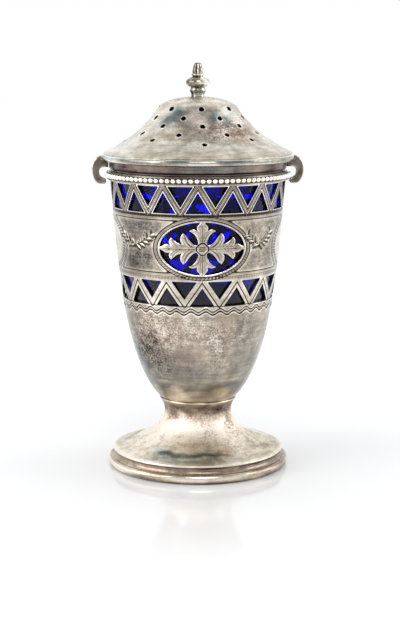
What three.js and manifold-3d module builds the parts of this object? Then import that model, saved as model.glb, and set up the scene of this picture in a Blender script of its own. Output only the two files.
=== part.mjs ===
// A pierced silver caster with a cobalt glass liner: a vase-shaped shell on a trumpet foot, under a
// domed sifter cover. Two hooks on the cover pass down through gaps in the beaded rim, and a turn of
// the cover then holds them under the beads.
// Millimetres, +Z up, the origin under the middle of the foot, the front towards -Y. Profiles are
// [radius, height] pairs, and an angle counts from the front towards +X.
import * as THREE from 'three';
import { mergeVertices } from 'three/addons/utils/BufferGeometryUtils.js';
import Module from 'manifold-3d';

const wasm = await Module();
wasm.setup();

// Fineness of the facets
const ROUND_SIDES = 36;
const SMALL_SIDES = 20;
const PEG_SIDES = 12;
const HOLE_SIDES = 6;

// Shell: the outer line is one curve from the mouth down to the bottom of the bowl
const SHELL_WALL = 0.9;
const SHELL_CURVE = [[28.9, 97.6], [26.3, 72.6], [25.3, 35.9], [12.5, 22.9]];
const SHELL_STEPS = 9;
const BOWL_FLOOR_Z = 23.8;

// The two pierced bands: each is a zigzag strap between triangular windows
const UPPER_BAND = {
  count: 16, phase: -3.1, top: 94.6, bottom: 86.15,
  downWidth: 8.3, downPoint: 88.0, upWidth: 8.0, upPoint: 92.85,
};
const LOWER_BAND = {
  count: 14, phase: 0, top: 64.6, bottom: 56.65,
  downWidth: 8.3, downPoint: 58.75, upWidth: 8.0, upPoint: 62.6,
};

// Pierced oval windows, front and back, each with a leaf cross left standing in it
const OVAL_HALF_WIDTH = 13.35;
const OVAL_HALF_HEIGHT = 8.4;
const OVAL_Z = 75.15;
const OVAL_ANGLES = [0, 180];
const OVAL_SIDES = 24;
const BOSS_RADIUS = 2.1;
const BOSS_SIDES = 8;
const LEAF_BELLY = 0.55;
const LEAF_STEPS = 2;
const CUTTER_REACH = 4;
// Leaves of one quarter of the cross: root, tip and full width, in mm from its middle
const CROSS_LEAVES = [
  { root: [0, 0], tip: [0, 8.9], width: 3.4 },
  { root: [0.2, 2.1], tip: [4.4, 5.7], width: 2.2 },
  { root: [0, 0], tip: [13.9, 0], width: 2.2 },
  { root: [2.3, 0.1], tip: [6.0, 5.0], width: 2.4 },
  { root: [6.8, 0.1], tip: [9.8, 3.5], width: 2.1 },
  { root: [8.6, 0], tip: [13.9, 0], width: 2.8 },
];

// Beaded rim soldered round the mouth
const RIM_BOTTOM = 94.9;
const RIM_TOP = 97.4;
const RIM_BACK_R = 28.95;
const RIM_LIP_R = 29.45;
const BEAD_COUNT = 100;
const BEAD_RING_R = 29.7;
const BEAD_Z = 96.5;
const BEAD_R = 0.8;
const BEAD_VALLEY = 0.25;
const GAP_BEADS = 3;
const GAP_ANGLES = [90, 270];
const BEAD_SLOPES = [-50, 50];

// Foot
const WAIST_TOP = 22.9;
const WAIST_BOTTOM = 22.0;
const WAIST_R = 12.75;
const WAIST_ROUND = 0.45;
const WAIST_IN = 10.85;
const FOOT_WALL = 0.9;
const STEM_CURVE = [[12.3, 22.0], [11.2, 20.2], [11.0, 19.2], [11.0, 18.0]];
const FLARE_CURVE = [[11.0, 18.0], [11.0, 13.4], [16.5, 9.2], [28.1, 5.9]];
const PLATE_EDGE_Z = 5.1;
const FOOT_RING_IN = 26.4;
const FOOT_ROUND = { r: 28.6, z: 1.55, across: 1.15, up: 1.55 };
const FOOT_COLLAR = [[27.75, 3.2], [27.5, 3.7], [27.5, PLATE_EDGE_Z]];

// Glass liner
const LINER_GAP = 0.25;
const LINER_WALL = 1.8;
const LINER_TOP = 97.2;
const LINER_BASE_Z = 30.0;
const LINER_CORNER_Z = 33.0;
const LINER_FLOOR_Z = 33.4;
// How far in from the last point of the wall the rounded corners run, and how high above the glass's
// lowest face, outside and inside
const LINER_CORNER_OUT = [[5.5, 0], [2.6, 0.7]];
const LINER_CORNER_IN = [[2.0, 0.8], [4.5, 0]];
const LINER_STRAIGHT_Z = 36.4;

// Cover
const COVER_WALL = 0.8;
const CROWN_CURVE = [[0, 121.25], [6.2, 121.25], [11.4, 119.8], [12.8, 117.8]];
const SKIRT_CURVE = [[12.8, 117.8], [19.1, 108.7], [23.5, 107.4], [30.7, 103.3]];
const SKIRT_Z = 103.3;
const BAND_TOP = 101.0;
const BAND_BOTTOM = 98.4;
const BAND_IN = 28.2;
const BAND_OUT = 28.8;
const MOULDING_ROLL = { r: 30.12, z: 102.03, across: 1.18, up: 1.08 };
const SIFTER_RING_RADII = [12.9, 15.0, 17.1, 19.8, 22.9];
const LAST_RING_ZIGZAG = 0.8;
const HOLES_PER_RING = 8;
const SIFTER_PHASE = 1.9;
const HOLE_R = 0.85;
const DRILL_LENGTH = 5;

// Locating ring inside the cover: its flange lies on the mouth, its tube stands in the liner
const BEZEL = {
  tubeIn: 24.0, tubeOut: 24.7, bottom: 91.6, flangeBottom: 97.7, flangeTop: 98.3, flangeOut: 28.2,
};

// Hooks: one outline, from the band out along the upper arm, round the back and in to the tip
const HOOK_WIDTH = 3.6;
const HOOK_CURVE_STEPS = 5;
const HOOK = {
  start: [29.0, 98.7],
  upperArm: [[29.0, 100.8], [30.4, 100.95], [31.3, 101.5], [31.5, 102.4]],
  back: [[32.7, 102.1, 34.4, 100.9, 34.4, 98.0], [34.4, 95.6, 33.6, 93.9, 32.2, 93.3]],
  tip: [[30.3, 93.3], [29.8, 93.8], [29.8, 95.0]],
  slot: [[31.2, 95.2, 32.0, 95.9, 32.0, 97.1], [32.0, 98.2, 31.5, 98.7, 30.4, 98.7]],
};

// Finial: spool, knop and ribbed bud on one peg through the crown
const CROWN_Z = 121.25;
const PEG_R = 0.9;
const PEG_BORE_R = 1.0;
const PEG_HEAD_R = 2.2;
const PEG_HEAD_ROUND = 0.5;
const PEG_HEAD_BOTTOM = 119.3;
const PEG_HEAD_TOP = 120.35;
const PEG_TOP = 129.5;
const SPOOL_TOP = 123.3;
const SPOOL_SIDE = [[2.15, CROWN_Z], [2.12, 121.7], [2.3, 122.4], [2.65, 122.95], [2.7, SPOOL_TOP]];
const KNOP_BALL = { r: 0, z: 125.75, across: 3.94, up: 2.02 };
const KNOP_FOOT_R = 2.35;
const KNOP_TOP = 128.6;
const KNOP_COLLAR = [[1.75, 127.6], [2.0, 127.95], [2.0, 128.35], [1.85, KNOP_TOP]];
const BUD_SIDE = [[1.55, KNOP_TOP], [1.68, 129.2], [1.4, 130.7], [1.0, 131.8]];
const BUD_TOP = 132.0;
const BUD_BORE_TOP = 129.7;
const BUD_RIBS = 8;
const BUD_RIB_DEPTH = 0.16;

const silver = (colour, roughness) =>
  new THREE.MeshStandardMaterial({ color: colour, metalness: 1.0, roughness });
const MATERIALS = {
  shell: silver(0xb3ab9f, 0.34),
  bright: silver(0xe4e1da, 0.25),
  foot: silver(0xbdb0a2, 0.36),
  cover: silver(0xb5ac9d, 0.38),
  tarnished: silver(0x8f8580, 0.4),
  finial: silver(0xc9c2b6, 0.3),
  cobaltGlass: new THREE.MeshStandardMaterial({
    color: 0x1018c0, metalness: 0, roughness: 0.06, transparent: true, opacity: 0.7,
  }),
};

const radians = (degrees) => THREE.MathUtils.degToRad(degrees);

// A cubic curve through four control points, as [radius, height] pairs
function curveOf(controls) {
  return new THREE.CubicBezierCurve(...controls.map(([r, z]) => new THREE.Vector2(r, z)));
}

function alongCurve(controls, steps) {
  return curveOf(controls).getPoints(steps).map((point) => [point.x, point.y]);
}

// The same curve moved towards the axis side by a wall's thickness
function insideCurve(controls, steps, distance) {
  const curve = curveOf(controls);
  const points = [];
  for (let step = 0; step <= steps; step += 1) {
    const point = curve.getPoint(step / steps);
    const tangent = curve.getTangent(step / steps);
    const inward = new THREE.Vector2(tangent.y, -tangent.x);
    if (inward.x > 0 || (inward.x === 0 && inward.y > 0)) {
      inward.negate();
    }
    point.addScaledVector(inward, distance);
    points.push([point.x, point.y]);
  }
  return points;
}

// Points round an oval from one slope to another, counted from straight out, upwards
function ovalArc(centreR, centreZ, across, up, fromSlope, toSlope, step) {
  const points = [];
  for (let slope = fromSlope; slope <= toSlope; slope += step) {
    points.push([centreR + across * Math.cos(radians(slope)), centreZ + up * Math.sin(radians(slope))]);
  }
  return points;
}

// The stretch of a profile above a level, ended exactly at that level
function above(profile, level) {
  const kept = [];
  profile.forEach(([r, z], index) => {
    const previous = profile[index - 1];
    if (previous && (previous[1] > level) !== (z > level)) {
      const share = (level - previous[1]) / (z - previous[1]);
      kept.push([previous[0] + share * (r - previous[0]), level]);
    }
    if (z > level) {
      kept.push([r, z]);
    }
  });
  return kept;
}

// Merges shared corners, drops collapsed triangles and turns the faces outwards
function closed(geometry) {
  geometry.deleteAttribute('normal');
  geometry.deleteAttribute('uv');
  const merged = mergeVertices(geometry, 1e-4);
  const corner = (index) => new THREE.Vector3().fromBufferAttribute(merged.attributes.position, index);
  const faces = [];
  let volume = 0;
  for (let start = 0; start < merged.index.count; start += 3) {
    const [a, b, c] = [0, 1, 2].map((offset) => merged.index.getX(start + offset));
    if (a !== b && b !== c && c !== a) {
      faces.push([a, b, c]);
      volume += corner(a).dot(corner(b).cross(corner(c)));
    }
  }
  const outward = volume > 0 ? faces : faces.map(([a, b, c]) => [a, c, b]);
  merged.setIndex(outward.flat());
  return merged;
}

// Turns a profile that may change with the angle; it closes on itself or on the axis
function turnedBy(profileAt, sides) {
  const closeUp = (profile) =>
    (profile[0][0] === 0 && profile.at(-1)[0] === 0 ? profile : [...profile, profile[0]]);
  const first = closeUp(profileAt(0)).map(([r, z]) => new THREE.Vector2(r, z));
  const geometry = new THREE.LatheGeometry(first, sides);
  geometry.rotateX(Math.PI / 2);
  for (let side = 0; side <= sides; side += 1) {
    const turn = (side / sides) * 2 * Math.PI;
    closeUp(profileAt(THREE.MathUtils.radToDeg(turn))).forEach(([r, z], row) => {
      const index = side * first.length + row;
      geometry.attributes.position.setXYZ(index, r * Math.sin(turn), -r * Math.cos(turn), z);
    });
  }
  return closed(geometry);
}

const turned = (profile, sides = ROUND_SIDES) => turnedBy(() => profile, sides);

// An outline in millimetres across and up, extruded outwards through the wall on the -Y side
function outlineCutter(shape, radius, centreZ, curveSteps = LEAF_STEPS) {
  const geometry = new THREE.ExtrudeGeometry(shape, {
    depth: 2 * CUTTER_REACH, bevelEnabled: false, curveSegments: curveSteps,
  });
  geometry.rotateX(Math.PI / 2);
  geometry.translate(0, -(radius - CUTTER_REACH), centreZ);
  return closed(geometry);
}

function solidOf(geometry) {
  return new wasm.Manifold(new wasm.Mesh({
    numProp: 3,
    vertProperties: new Float32Array(geometry.attributes.position.array),
    triVerts: new Uint32Array(geometry.index.array),
  }));
}

function geometryOf(solid) {
  const mesh = solid.getMesh();
  const geometry = new THREE.BufferGeometry();
  geometry.setAttribute('position', new THREE.BufferAttribute(mesh.vertProperties, 3));
  geometry.setIndex(new THREE.BufferAttribute(mesh.triVerts, 1));
  return geometry;
}

// The windows of one zigzag band: triangles that point down and up by turns
function bandWindows(band) {
  const middle = (band.top + band.bottom) / 2;
  const radius = shellRadius(middle);
  const triangle = (halfWidth, baseZ, pointZ) => new THREE.Shape([
    new THREE.Vector2(-halfWidth, baseZ - middle),
    new THREE.Vector2(halfWidth, baseZ - middle),
    new THREE.Vector2(0, pointZ - middle),
  ]);
  const pitch = 360 / band.count;
  const windows = [];
  for (let step = 0; step < band.count; step += 1) {
    const up = outlineCutter(triangle(band.upWidth / 2, band.bottom, band.upPoint), radius, middle);
    up.rotateZ(radians(band.phase + step * pitch));
    const down = outlineCutter(triangle(band.downWidth / 2, band.top, band.downPoint), radius, middle);
    down.rotateZ(radians(band.phase + (step + 0.5) * pitch));
    windows.push(solidOf(up), solidOf(down));
  }
  return windows;
}

// The shell's outer radius at a height: its curve runs down from the mouth
function shellRadius(height) {
  return above(alongCurve(SHELL_CURVE, 60), height).at(-1)[0];
}

// A pointed leaf from its root to its tip, widest past the middle
function leafShape({ root, tip, width }, mirrorX, mirrorY) {
  const start = new THREE.Vector2(root[0] * mirrorX, root[1] * mirrorY);
  const end = new THREE.Vector2(tip[0] * mirrorX, tip[1] * mirrorY);
  const across = end.clone().sub(start).rotateAround(new THREE.Vector2(), Math.PI / 2).setLength(width);
  const belly = start.clone().lerp(end, LEAF_BELLY);
  const shape = new THREE.Shape();
  shape.moveTo(start.x, start.y);
  shape.quadraticCurveTo(belly.x + across.x, belly.y + across.y, end.x, end.y);
  shape.quadraticCurveTo(belly.x - across.x, belly.y - across.y, start.x, start.y);
  return shape;
}

// An oval window less the cross that stands in it
function crossWindow(angle) {
  const radius = shellRadius(OVAL_Z);
  const oval = new THREE.Shape();
  oval.absellipse(0, 0, OVAL_HALF_WIDTH, OVAL_HALF_HEIGHT, 0, 2 * Math.PI, false);
  const boss = new THREE.Shape();
  boss.absarc(0, 0, BOSS_RADIUS, 0, 2 * Math.PI, false);
  let cross = solidOf(outlineCutter(boss, radius, OVAL_Z, BOSS_SIDES));
  for (const leaf of CROSS_LEAVES) {
    for (const mirrorX of leaf.tip[0] === 0 ? [1] : [1, -1]) {
      for (const mirrorY of leaf.tip[1] === 0 ? [1] : [1, -1]) {
        cross = cross.add(solidOf(outlineCutter(leafShape(leaf, mirrorX, mirrorY), radius, OVAL_Z)));
      }
    }
  }
  const window = geometryOf(solidOf(outlineCutter(oval, radius, OVAL_Z, OVAL_SIDES)).subtract(cross));
  window.rotateZ(radians(angle));
  return solidOf(window);
}

function bodyShell() {
  const outside = alongCurve(SHELL_CURVE, SHELL_STEPS).reverse();
  const inside = insideCurve(SHELL_CURVE, SHELL_STEPS, SHELL_WALL);
  const cavity = above(inside, BOWL_FLOOR_Z);
  cavity[0] = [cavity[0][0], SHELL_CURVE[0][1]];
  let shell = solidOf(turned([[0, BOWL_FLOOR_Z - SHELL_WALL], ...outside, ...cavity, [0, BOWL_FLOOR_Z]]));
  const windows = [
    ...bandWindows(UPPER_BAND),
    ...bandWindows(LOWER_BAND),
    ...OVAL_ANGLES.map(crossWindow),
  ];
  for (const window of windows) {
    shell = shell.subtract(window);
  }
  return geometryOf(shell);
}

// The rim's beads swell and shrink along it, and are left off where the hooks pass
function beadRim() {
  const pitch = 360 / BEAD_COUNT;
  const inGap = (angle) =>
    GAP_ANGLES.some((gap) => Math.abs(angle - gap) < (GAP_BEADS / 2) * pitch + 0.01);
  const sectionAt = (angle) => {
    const onBead = Math.round((angle / pitch) * 2) % 2 === 0;
    const swell = inGap(angle) ? 0 : (onBead ? 1 : BEAD_VALLEY);
    const bead = (slope) => [
      Math.max(RIM_LIP_R, BEAD_RING_R + swell * BEAD_R * Math.cos(radians(slope))),
      BEAD_Z + BEAD_R * Math.sin(radians(slope)),
    ];
    return [
      [RIM_BACK_R, RIM_BOTTOM], [RIM_LIP_R, RIM_BOTTOM],
      ...BEAD_SLOPES.map(bead),
      [RIM_BACK_R, RIM_TOP],
    ];
  };
  return turnedBy(sectionAt, 2 * BEAD_COUNT);
}

function waistWire() {
  const shoulder = WAIST_R - WAIST_ROUND;
  return turned([
    [WAIST_IN, WAIST_BOTTOM], [shoulder, WAIST_BOTTOM], [WAIST_R, (WAIST_BOTTOM + WAIST_TOP) / 2],
    [shoulder, WAIST_TOP], [WAIST_IN, WAIST_TOP],
  ], SMALL_SIDES);
}

function footSpool() {
  const outside = [...alongCurve(STEM_CURVE, 2), ...alongCurve(FLARE_CURVE, 7).slice(1)];
  const stemInside = insideCurve(STEM_CURVE, 2, FOOT_WALL);
  stemInside[0] = [stemInside[0][0], WAIST_BOTTOM];
  const inside = above([...stemInside, ...insideCurve(FLARE_CURVE, 6, FOOT_WALL).slice(1)], PLATE_EDGE_Z);
  return turned([...outside, [FLARE_CURVE[3][0], PLATE_EDGE_Z], ...inside.reverse()]);
}

function footRim() {
  const { r, z, across, up } = FOOT_ROUND;
  const round = ovalArc(r, z, across, up, -75, 105, 30);
  return turned([[FOOT_RING_IN, 0], [r, 0], ...round, ...FOOT_COLLAR, [FOOT_RING_IN, PLATE_EDGE_Z]]);
}

function glassLiner() {
  const outside = above(insideCurve(SHELL_CURVE, 7, SHELL_WALL + LINER_GAP), LINER_CORNER_Z);
  const inside = above(insideCurve(SHELL_CURVE, 6, SHELL_WALL + LINER_GAP + LINER_WALL), LINER_STRAIGHT_Z);
  outside[0] = [outside[0][0], LINER_TOP];
  inside[0] = [inside[0][0], LINER_TOP];
  const rounding = (steps, wallR, baseZ) => steps.map(([inward, up]) => [wallR - inward, baseZ + up]);
  return turned([
    [0, LINER_BASE_Z], ...rounding(LINER_CORNER_OUT, outside.at(-1)[0], LINER_BASE_Z),
    ...outside.reverse(), ...inside,
    ...rounding(LINER_CORNER_IN, inside.at(-1)[0], LINER_FLOOR_Z), [0, LINER_FLOOR_Z],
  ]);
}

// Height and outward direction of the cover's surface at a radius
function onCover(radius) {
  const fine = [...alongCurve(CROWN_CURVE, 40), ...alongCurve(SKIRT_CURVE, 60).slice(1)];
  const index = fine.findIndex(([r]) => r > radius);
  const [[r0, z0], [r1, z1]] = [fine[index - 1], fine[index]];
  const share = (radius - r0) / (r1 - r0);
  const slope = new THREE.Vector2(r1 - r0, z1 - z0).normalize();
  return { z: z0 + share * (z1 - z0), outward: new THREE.Vector2(-slope.y, slope.x) };
}

// One straight drill for each sifting hole, square to the cover's surface; the lowest holes stand
// a little lower and higher by turns
function sifterDrills() {
  const drills = [];
  SIFTER_RING_RADII.forEach((ringRadius, ring) => {
    const zigzag = ring === SIFTER_RING_RADII.length - 1 ? LAST_RING_ZIGZAG : 0;
    for (let hole = 0; hole < HOLES_PER_RING; hole += 1) {
      const radius = ringRadius + (hole % 2 === 0 ? zigzag : -zigzag);
      const { z, outward } = onCover(radius);
      const angle = radians(SIFTER_PHASE + ((hole + (ring % 2) / 2) * 360) / HOLES_PER_RING);
      const direction = new THREE.Vector3(
        outward.x * Math.sin(angle), -outward.x * Math.cos(angle), outward.y,
      );
      const drill = new THREE.CylinderGeometry(HOLE_R, HOLE_R, DRILL_LENGTH, HOLE_SIDES);
      drill.applyQuaternion(new THREE.Quaternion().setFromUnitVectors(new THREE.Vector3(0, 1, 0), direction));
      drill.translate(radius * Math.sin(angle), -radius * Math.cos(angle), z);
      drills.push(solidOf(closed(drill)));
    }
  });
  return drills;
}

function coverDome() {
  const outside = [...alongCurve(CROWN_CURVE, 4).slice(1), ...alongCurve(SKIRT_CURVE, 6).slice(1)];
  const inside = above([
    ...insideCurve(CROWN_CURVE, 3, COVER_WALL).slice(1),
    ...insideCurve(SKIRT_CURVE, 6, COVER_WALL).slice(1),
  ], SKIRT_Z);
  let dome = solidOf(turned([
    [PEG_BORE_R, CROWN_Z], ...outside, ...inside.reverse(), [PEG_BORE_R, CROWN_Z - COVER_WALL],
  ]));
  for (const drill of sifterDrills()) {
    dome = dome.subtract(drill);
  }
  return geometryOf(dome);
}

function coverMoulding() {
  const { r, z, across, up } = MOULDING_ROLL;
  const roll = ovalArc(r, z, across, up, -72, 72, 24);
  return turned([
    [BAND_IN, BAND_TOP], [BAND_OUT, BAND_TOP], ...roll, [SKIRT_CURVE[3][0], SKIRT_Z], [BAND_IN, SKIRT_Z],
  ]);
}

function coverBand() {
  return turned([
    [BAND_IN, BAND_BOTTOM], [BAND_OUT, BAND_BOTTOM], [BAND_OUT, BAND_TOP], [BAND_IN, BAND_TOP],
  ]);
}

function coverBezel() {
  return turned([
    [BEZEL.tubeIn, BEZEL.bottom], [BEZEL.tubeOut, BEZEL.bottom], [BEZEL.tubeOut, BEZEL.flangeBottom],
    [BEZEL.flangeOut, BEZEL.flangeBottom], [BEZEL.flangeOut, BEZEL.flangeTop],
    [BEZEL.tubeIn, BEZEL.flangeTop],
  ]);
}

// A flat C of strip: its upper arm meets the band and moulding, its lower arm reaches in
// under the beads, and the slot between them leaves room for the rim
function hook() {
  const outline = new THREE.Shape();
  outline.moveTo(...HOOK.start);
  HOOK.upperArm.forEach((point) => outline.lineTo(...point));
  HOOK.back.forEach((curve) => outline.bezierCurveTo(...curve));
  HOOK.tip.forEach((point) => outline.lineTo(...point));
  HOOK.slot.forEach((curve) => outline.bezierCurveTo(...curve));
  const geometry = new THREE.ExtrudeGeometry(outline, {
    depth: HOOK_WIDTH, bevelEnabled: false, curveSegments: HOOK_CURVE_STEPS,
  });
  geometry.rotateX(Math.PI / 2);
  geometry.translate(0, HOOK_WIDTH / 2, 0);
  return closed(geometry);
}

function finialPeg() {
  return turned([
    [0, PEG_HEAD_BOTTOM], [PEG_HEAD_R - PEG_HEAD_ROUND, PEG_HEAD_BOTTOM],
    [PEG_HEAD_R, PEG_HEAD_BOTTOM + PEG_HEAD_ROUND],
    [PEG_HEAD_R, PEG_HEAD_TOP], [PEG_R, PEG_HEAD_TOP], [PEG_R, PEG_TOP], [0, PEG_TOP],
  ], PEG_SIDES);
}

function finialSpool() {
  return turned([[PEG_BORE_R, CROWN_Z], ...SPOOL_SIDE, [PEG_BORE_R, SPOOL_TOP]], SMALL_SIDES);
}

function finialKnop() {
  const { r, z, across, up } = KNOP_BALL;
  const ball = ovalArc(r, z, across, up, -50, 55, 15);
  return turned([
    [PEG_BORE_R, SPOOL_TOP], [KNOP_FOOT_R, SPOOL_TOP], ...ball, ...KNOP_COLLAR, [PEG_BORE_R, KNOP_TOP],
  ], SMALL_SIDES);
}

function finialBud() {
  return turnedBy((angle) => {
    const rib = BUD_RIB_DEPTH * Math.cos(radians(angle * BUD_RIBS));
    return [
      [0, BUD_BORE_TOP], [PEG_BORE_R, BUD_BORE_TOP], [PEG_BORE_R, KNOP_TOP],
      ...BUD_SIDE.map(([r, z]) => [r + rib, z]), [0, BUD_TOP],
    ];
  }, 4 * BUD_RIBS);
}

const caster = new THREE.Group();

function addPiece(name, geometry, material) {
  const mesh = new THREE.Mesh(geometry, material);
  mesh.name = name;
  caster.add(mesh);
  return mesh;
}

addPiece('body_shell', bodyShell(), MATERIALS.shell);
addPiece('bead_rim', beadRim(), MATERIALS.bright);
addPiece('waist_wire', waistWire(), MATERIALS.bright);
addPiece('foot_spool', footSpool(), MATERIALS.foot);
addPiece('foot_rim', footRim(), MATERIALS.foot);
addPiece('glass_liner', glassLiner(), MATERIALS.cobaltGlass);
addPiece('cover_bezel', coverBezel(), MATERIALS.tarnished);
addPiece('cover_dome', coverDome(), MATERIALS.cover);
addPiece('cover_moulding', coverMoulding(), MATERIALS.cover);
addPiece('cover_band', coverBand(), MATERIALS.tarnished);
addPiece('hook_right', hook(), MATERIALS.cover);
addPiece('hook_left', hook(), MATERIALS.cover).rotation.z = Math.PI;
addPiece('finial_peg', finialPeg(), MATERIALS.finial);
addPiece('finial_spool', finialSpool(), MATERIALS.finial);
addPiece('finial_knop', finialKnop(), MATERIALS.finial);
addPiece('finial_bud', finialBud(), MATERIALS.finial);

export default caster;
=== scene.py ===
# %% [markdown]
# # A pierced silver caster with a cobalt glass liner
# The caster is a vase of thin silver sheet. A jeweller's saw has cut windows through it, a graver has
# drawn its borders and garlands, and a blue glass cup shows through the openings. This notebook dresses
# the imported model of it, piece by piece, and every piece stays where that model puts it.

import bmesh
import bpy
import numpy as np
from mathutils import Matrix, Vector


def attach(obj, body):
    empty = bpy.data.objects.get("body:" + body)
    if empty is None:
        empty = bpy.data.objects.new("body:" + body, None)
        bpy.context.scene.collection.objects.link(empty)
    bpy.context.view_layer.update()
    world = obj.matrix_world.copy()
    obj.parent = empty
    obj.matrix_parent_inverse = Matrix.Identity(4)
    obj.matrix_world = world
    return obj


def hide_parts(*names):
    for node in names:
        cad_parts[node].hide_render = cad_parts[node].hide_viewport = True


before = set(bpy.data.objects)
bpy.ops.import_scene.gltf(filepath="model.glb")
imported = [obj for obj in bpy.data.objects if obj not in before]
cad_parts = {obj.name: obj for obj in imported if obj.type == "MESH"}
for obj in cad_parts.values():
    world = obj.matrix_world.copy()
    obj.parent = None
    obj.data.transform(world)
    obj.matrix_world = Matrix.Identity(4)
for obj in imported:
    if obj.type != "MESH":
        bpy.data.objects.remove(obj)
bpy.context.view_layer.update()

# %% [markdown]
# ## Camera
# The photograph was taken from a little above the rim with a long lens, so the ellipses of the rim
# and foot are narrow. Its place and focal length were fitted to those ellipses. The focal length is in
# pixels of the photograph, which a sensor as tall as the picture turns into millimetres of lens. The
# camera stands slightly to the left, because the front medallion shows a little to the right of the
# middle.

# %% Camera at the photograph's angle
MM = 0.001
PHOTO_HEIGHT = 635
FOCAL_PIXELS = 1550
SENSOR = 36
CAMERA_DISTANCE = 504.2 * MM
CAMERA_HEIGHT = 138.5 * MM
CAMERA_PITCH = 10.08
CAMERA_TURN = -3.1
LEFT_OF_MIDDLE = 2.15


def add_object(name, data):
    """A new object in the scene, at the origin."""
    made = bpy.data.objects.new(name, data)
    bpy.context.scene.collection.objects.link(made)
    return made


lens = bpy.data.cameras.new("photo_lens")
lens.sensor_fit = "VERTICAL"
lens.sensor_height = SENSOR
lens.lens = SENSOR * FOCAL_PIXELS / PHOTO_HEIGHT
lens.shift_x = LEFT_OF_MIDDLE / PHOTO_HEIGHT
lens.clip_start = 0.01
camera = add_object("photo_camera", lens)
turn = np.radians(CAMERA_TURN)
camera.location = (CAMERA_DISTANCE * np.sin(turn), -CAMERA_DISTANCE * np.cos(turn), CAMERA_HEIGHT)
camera.rotation_euler = (np.radians(90 - CAMERA_PITCH), 0, turn)
bpy.context.scene.camera = camera
print("lens in mm:", round(lens.lens, 2))

# %% [markdown]
# ## Writing materials as sums
# A worn silver surface is a sum of small things: clouds of tarnish, specks, a dark line in each
# engraved cut. Placing nodes by hand for each sum is slow and hard to read. This small class wraps a
# socket, so that an expression such as `1 - clouds * 0.4` adds the Math nodes by itself.


# %% A socket that takes part in expressions
class Signal:
    """A socket of one node tree, for use in Python expressions."""

    def __init__(self, tree, socket=None):
        self.tree = tree
        self.socket = socket

    def node(self, kind, inputs=None, output=0, **settings):
        """Adds a node: its settings first, then the values or links of its sockets."""
        made = self.tree.nodes.new(kind)
        for name, value in settings.items():
            if name == "stops":
                set_stops(made.color_ramp.elements, value)
            else:
                setattr(made, name, value)
        for key, value in (inputs or {}).items():
            if isinstance(value, Signal):
                self.tree.links.new(value.socket, made.inputs[key])
            else:
                made.inputs[key].default_value = value
        return Signal(self.tree, made.outputs[output] if made.outputs else None)

    def math(self, operation, first, second=0.0):
        return self.node("ShaderNodeMath", {0: first, 1: second}, operation=operation)

    def __add__(self, other):
        return self.math("ADD", self, other)

    def __radd__(self, other):
        return self.math("ADD", other, self)

    def __sub__(self, other):
        return self.math("SUBTRACT", self, other)

    def __rsub__(self, other):
        return self.math("SUBTRACT", other, self)

    def __mul__(self, other):
        return self.math("MULTIPLY", self, other)

    def __rmul__(self, other):
        return self.math("MULTIPLY", other, self)

    def between(self, low, high):
        """0 below one value, 1 above the other, with a soft step."""
        limits = {"Value": self, "From Min": low, "From Max": high}
        return self.node("ShaderNodeMapRange", limits, interpolation_type="SMOOTHSTEP")

    def blend(self, at_zero, at_one):
        """One colour where the signal is 0, another where it is 1."""
        return self.mixed(at_zero, at_one, "MIX")

    def tinted(self, tone, cast):
        """A colour, multiplied by another as far as the signal says."""
        return self.mixed(tone, cast, "MULTIPLY")

    def mixed(self, first, second, way):
        colours = {0: self, 6: first, 7: second}
        return self.node("ShaderNodeMix", colours, output=2, data_type="RGBA", blend_type=way)


def set_stops(elements, stops):
    """Gives a colour ramp its stops: pairs of place and colour."""
    while len(elements) < len(stops):
        elements.new(1.0)
    for element, (place, colour) in zip(elements, stops):
        element.position = place
        element.color = colour


def colour(red, green, blue):
    return (red, green, blue, 1.0)


# %% [markdown]
# ## Old silver
# Silver in a room slowly takes on a film of tarnish. A thin film is straw-coloured, a thicker one turns
# champagne, then pinkish brown, then blue-grey, and the thickest is nearly black. So one number, how
# thick the film is, gives the colour of every place through a colour ramp. Noise makes the film uneven,
# and attributes stored with each piece say where it was rubbed, where it is thick, and where fine
# frosting or engraved lines lie. The same attributes also carry painted light: painted shade in gaps,
# in the foot's cove and on the inner faces of the sheets, and painted highlights and reflections on the
# dome, the moulding, the band, the hooks, the foot and low on the bowl.

# %% Silver finish
def noise(start, place, scale, detail=3.0, roughness=0.55, distortion=0.0):
    values = {"Vector": place, "Scale": scale, "Detail": detail, "Roughness": roughness}
    return start.node("ShaderNodeTexNoise", {**values, "Distortion": distortion})


def stretched(start, place, stretch):
    """The same coordinates, drawn out to make streaks."""
    return start.node("ShaderNodeMapping", {"Vector": place, "Scale": stretch})


def new_material(name):
    material = bpy.data.materials.new(name)
    material.use_nodes = True
    material.node_tree.nodes.clear()
    return material, Signal(material.node_tree)


def finish_with(start, sockets):
    """Ends a material with the shader, given the values and links of its sockets."""
    surface = start.node("ShaderNodeBsdfPrincipled", sockets)
    start.node("ShaderNodeOutputMaterial", {"Surface": surface})


FILM_TONES = [
    (0.00, (0.95, 0.92, 0.86)),
    (0.20, (0.74, 0.69, 0.60)),
    (0.42, (0.46, 0.41, 0.33)),
    (0.58, (0.32, 0.275, 0.225)),
    (0.72, (0.225, 0.205, 0.185)),
    (0.88, (0.13, 0.112, 0.097)),
    (1.00, (0.040, 0.032, 0.027)),
]
BLOOM = (0.62, 0.84, 0.98)
BLUSH = (0.98, 0.81, 0.82)
MARKS = ("cut", "line", "polish", "tarnish", "frosting", "inside", "bloom", "blush")


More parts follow.
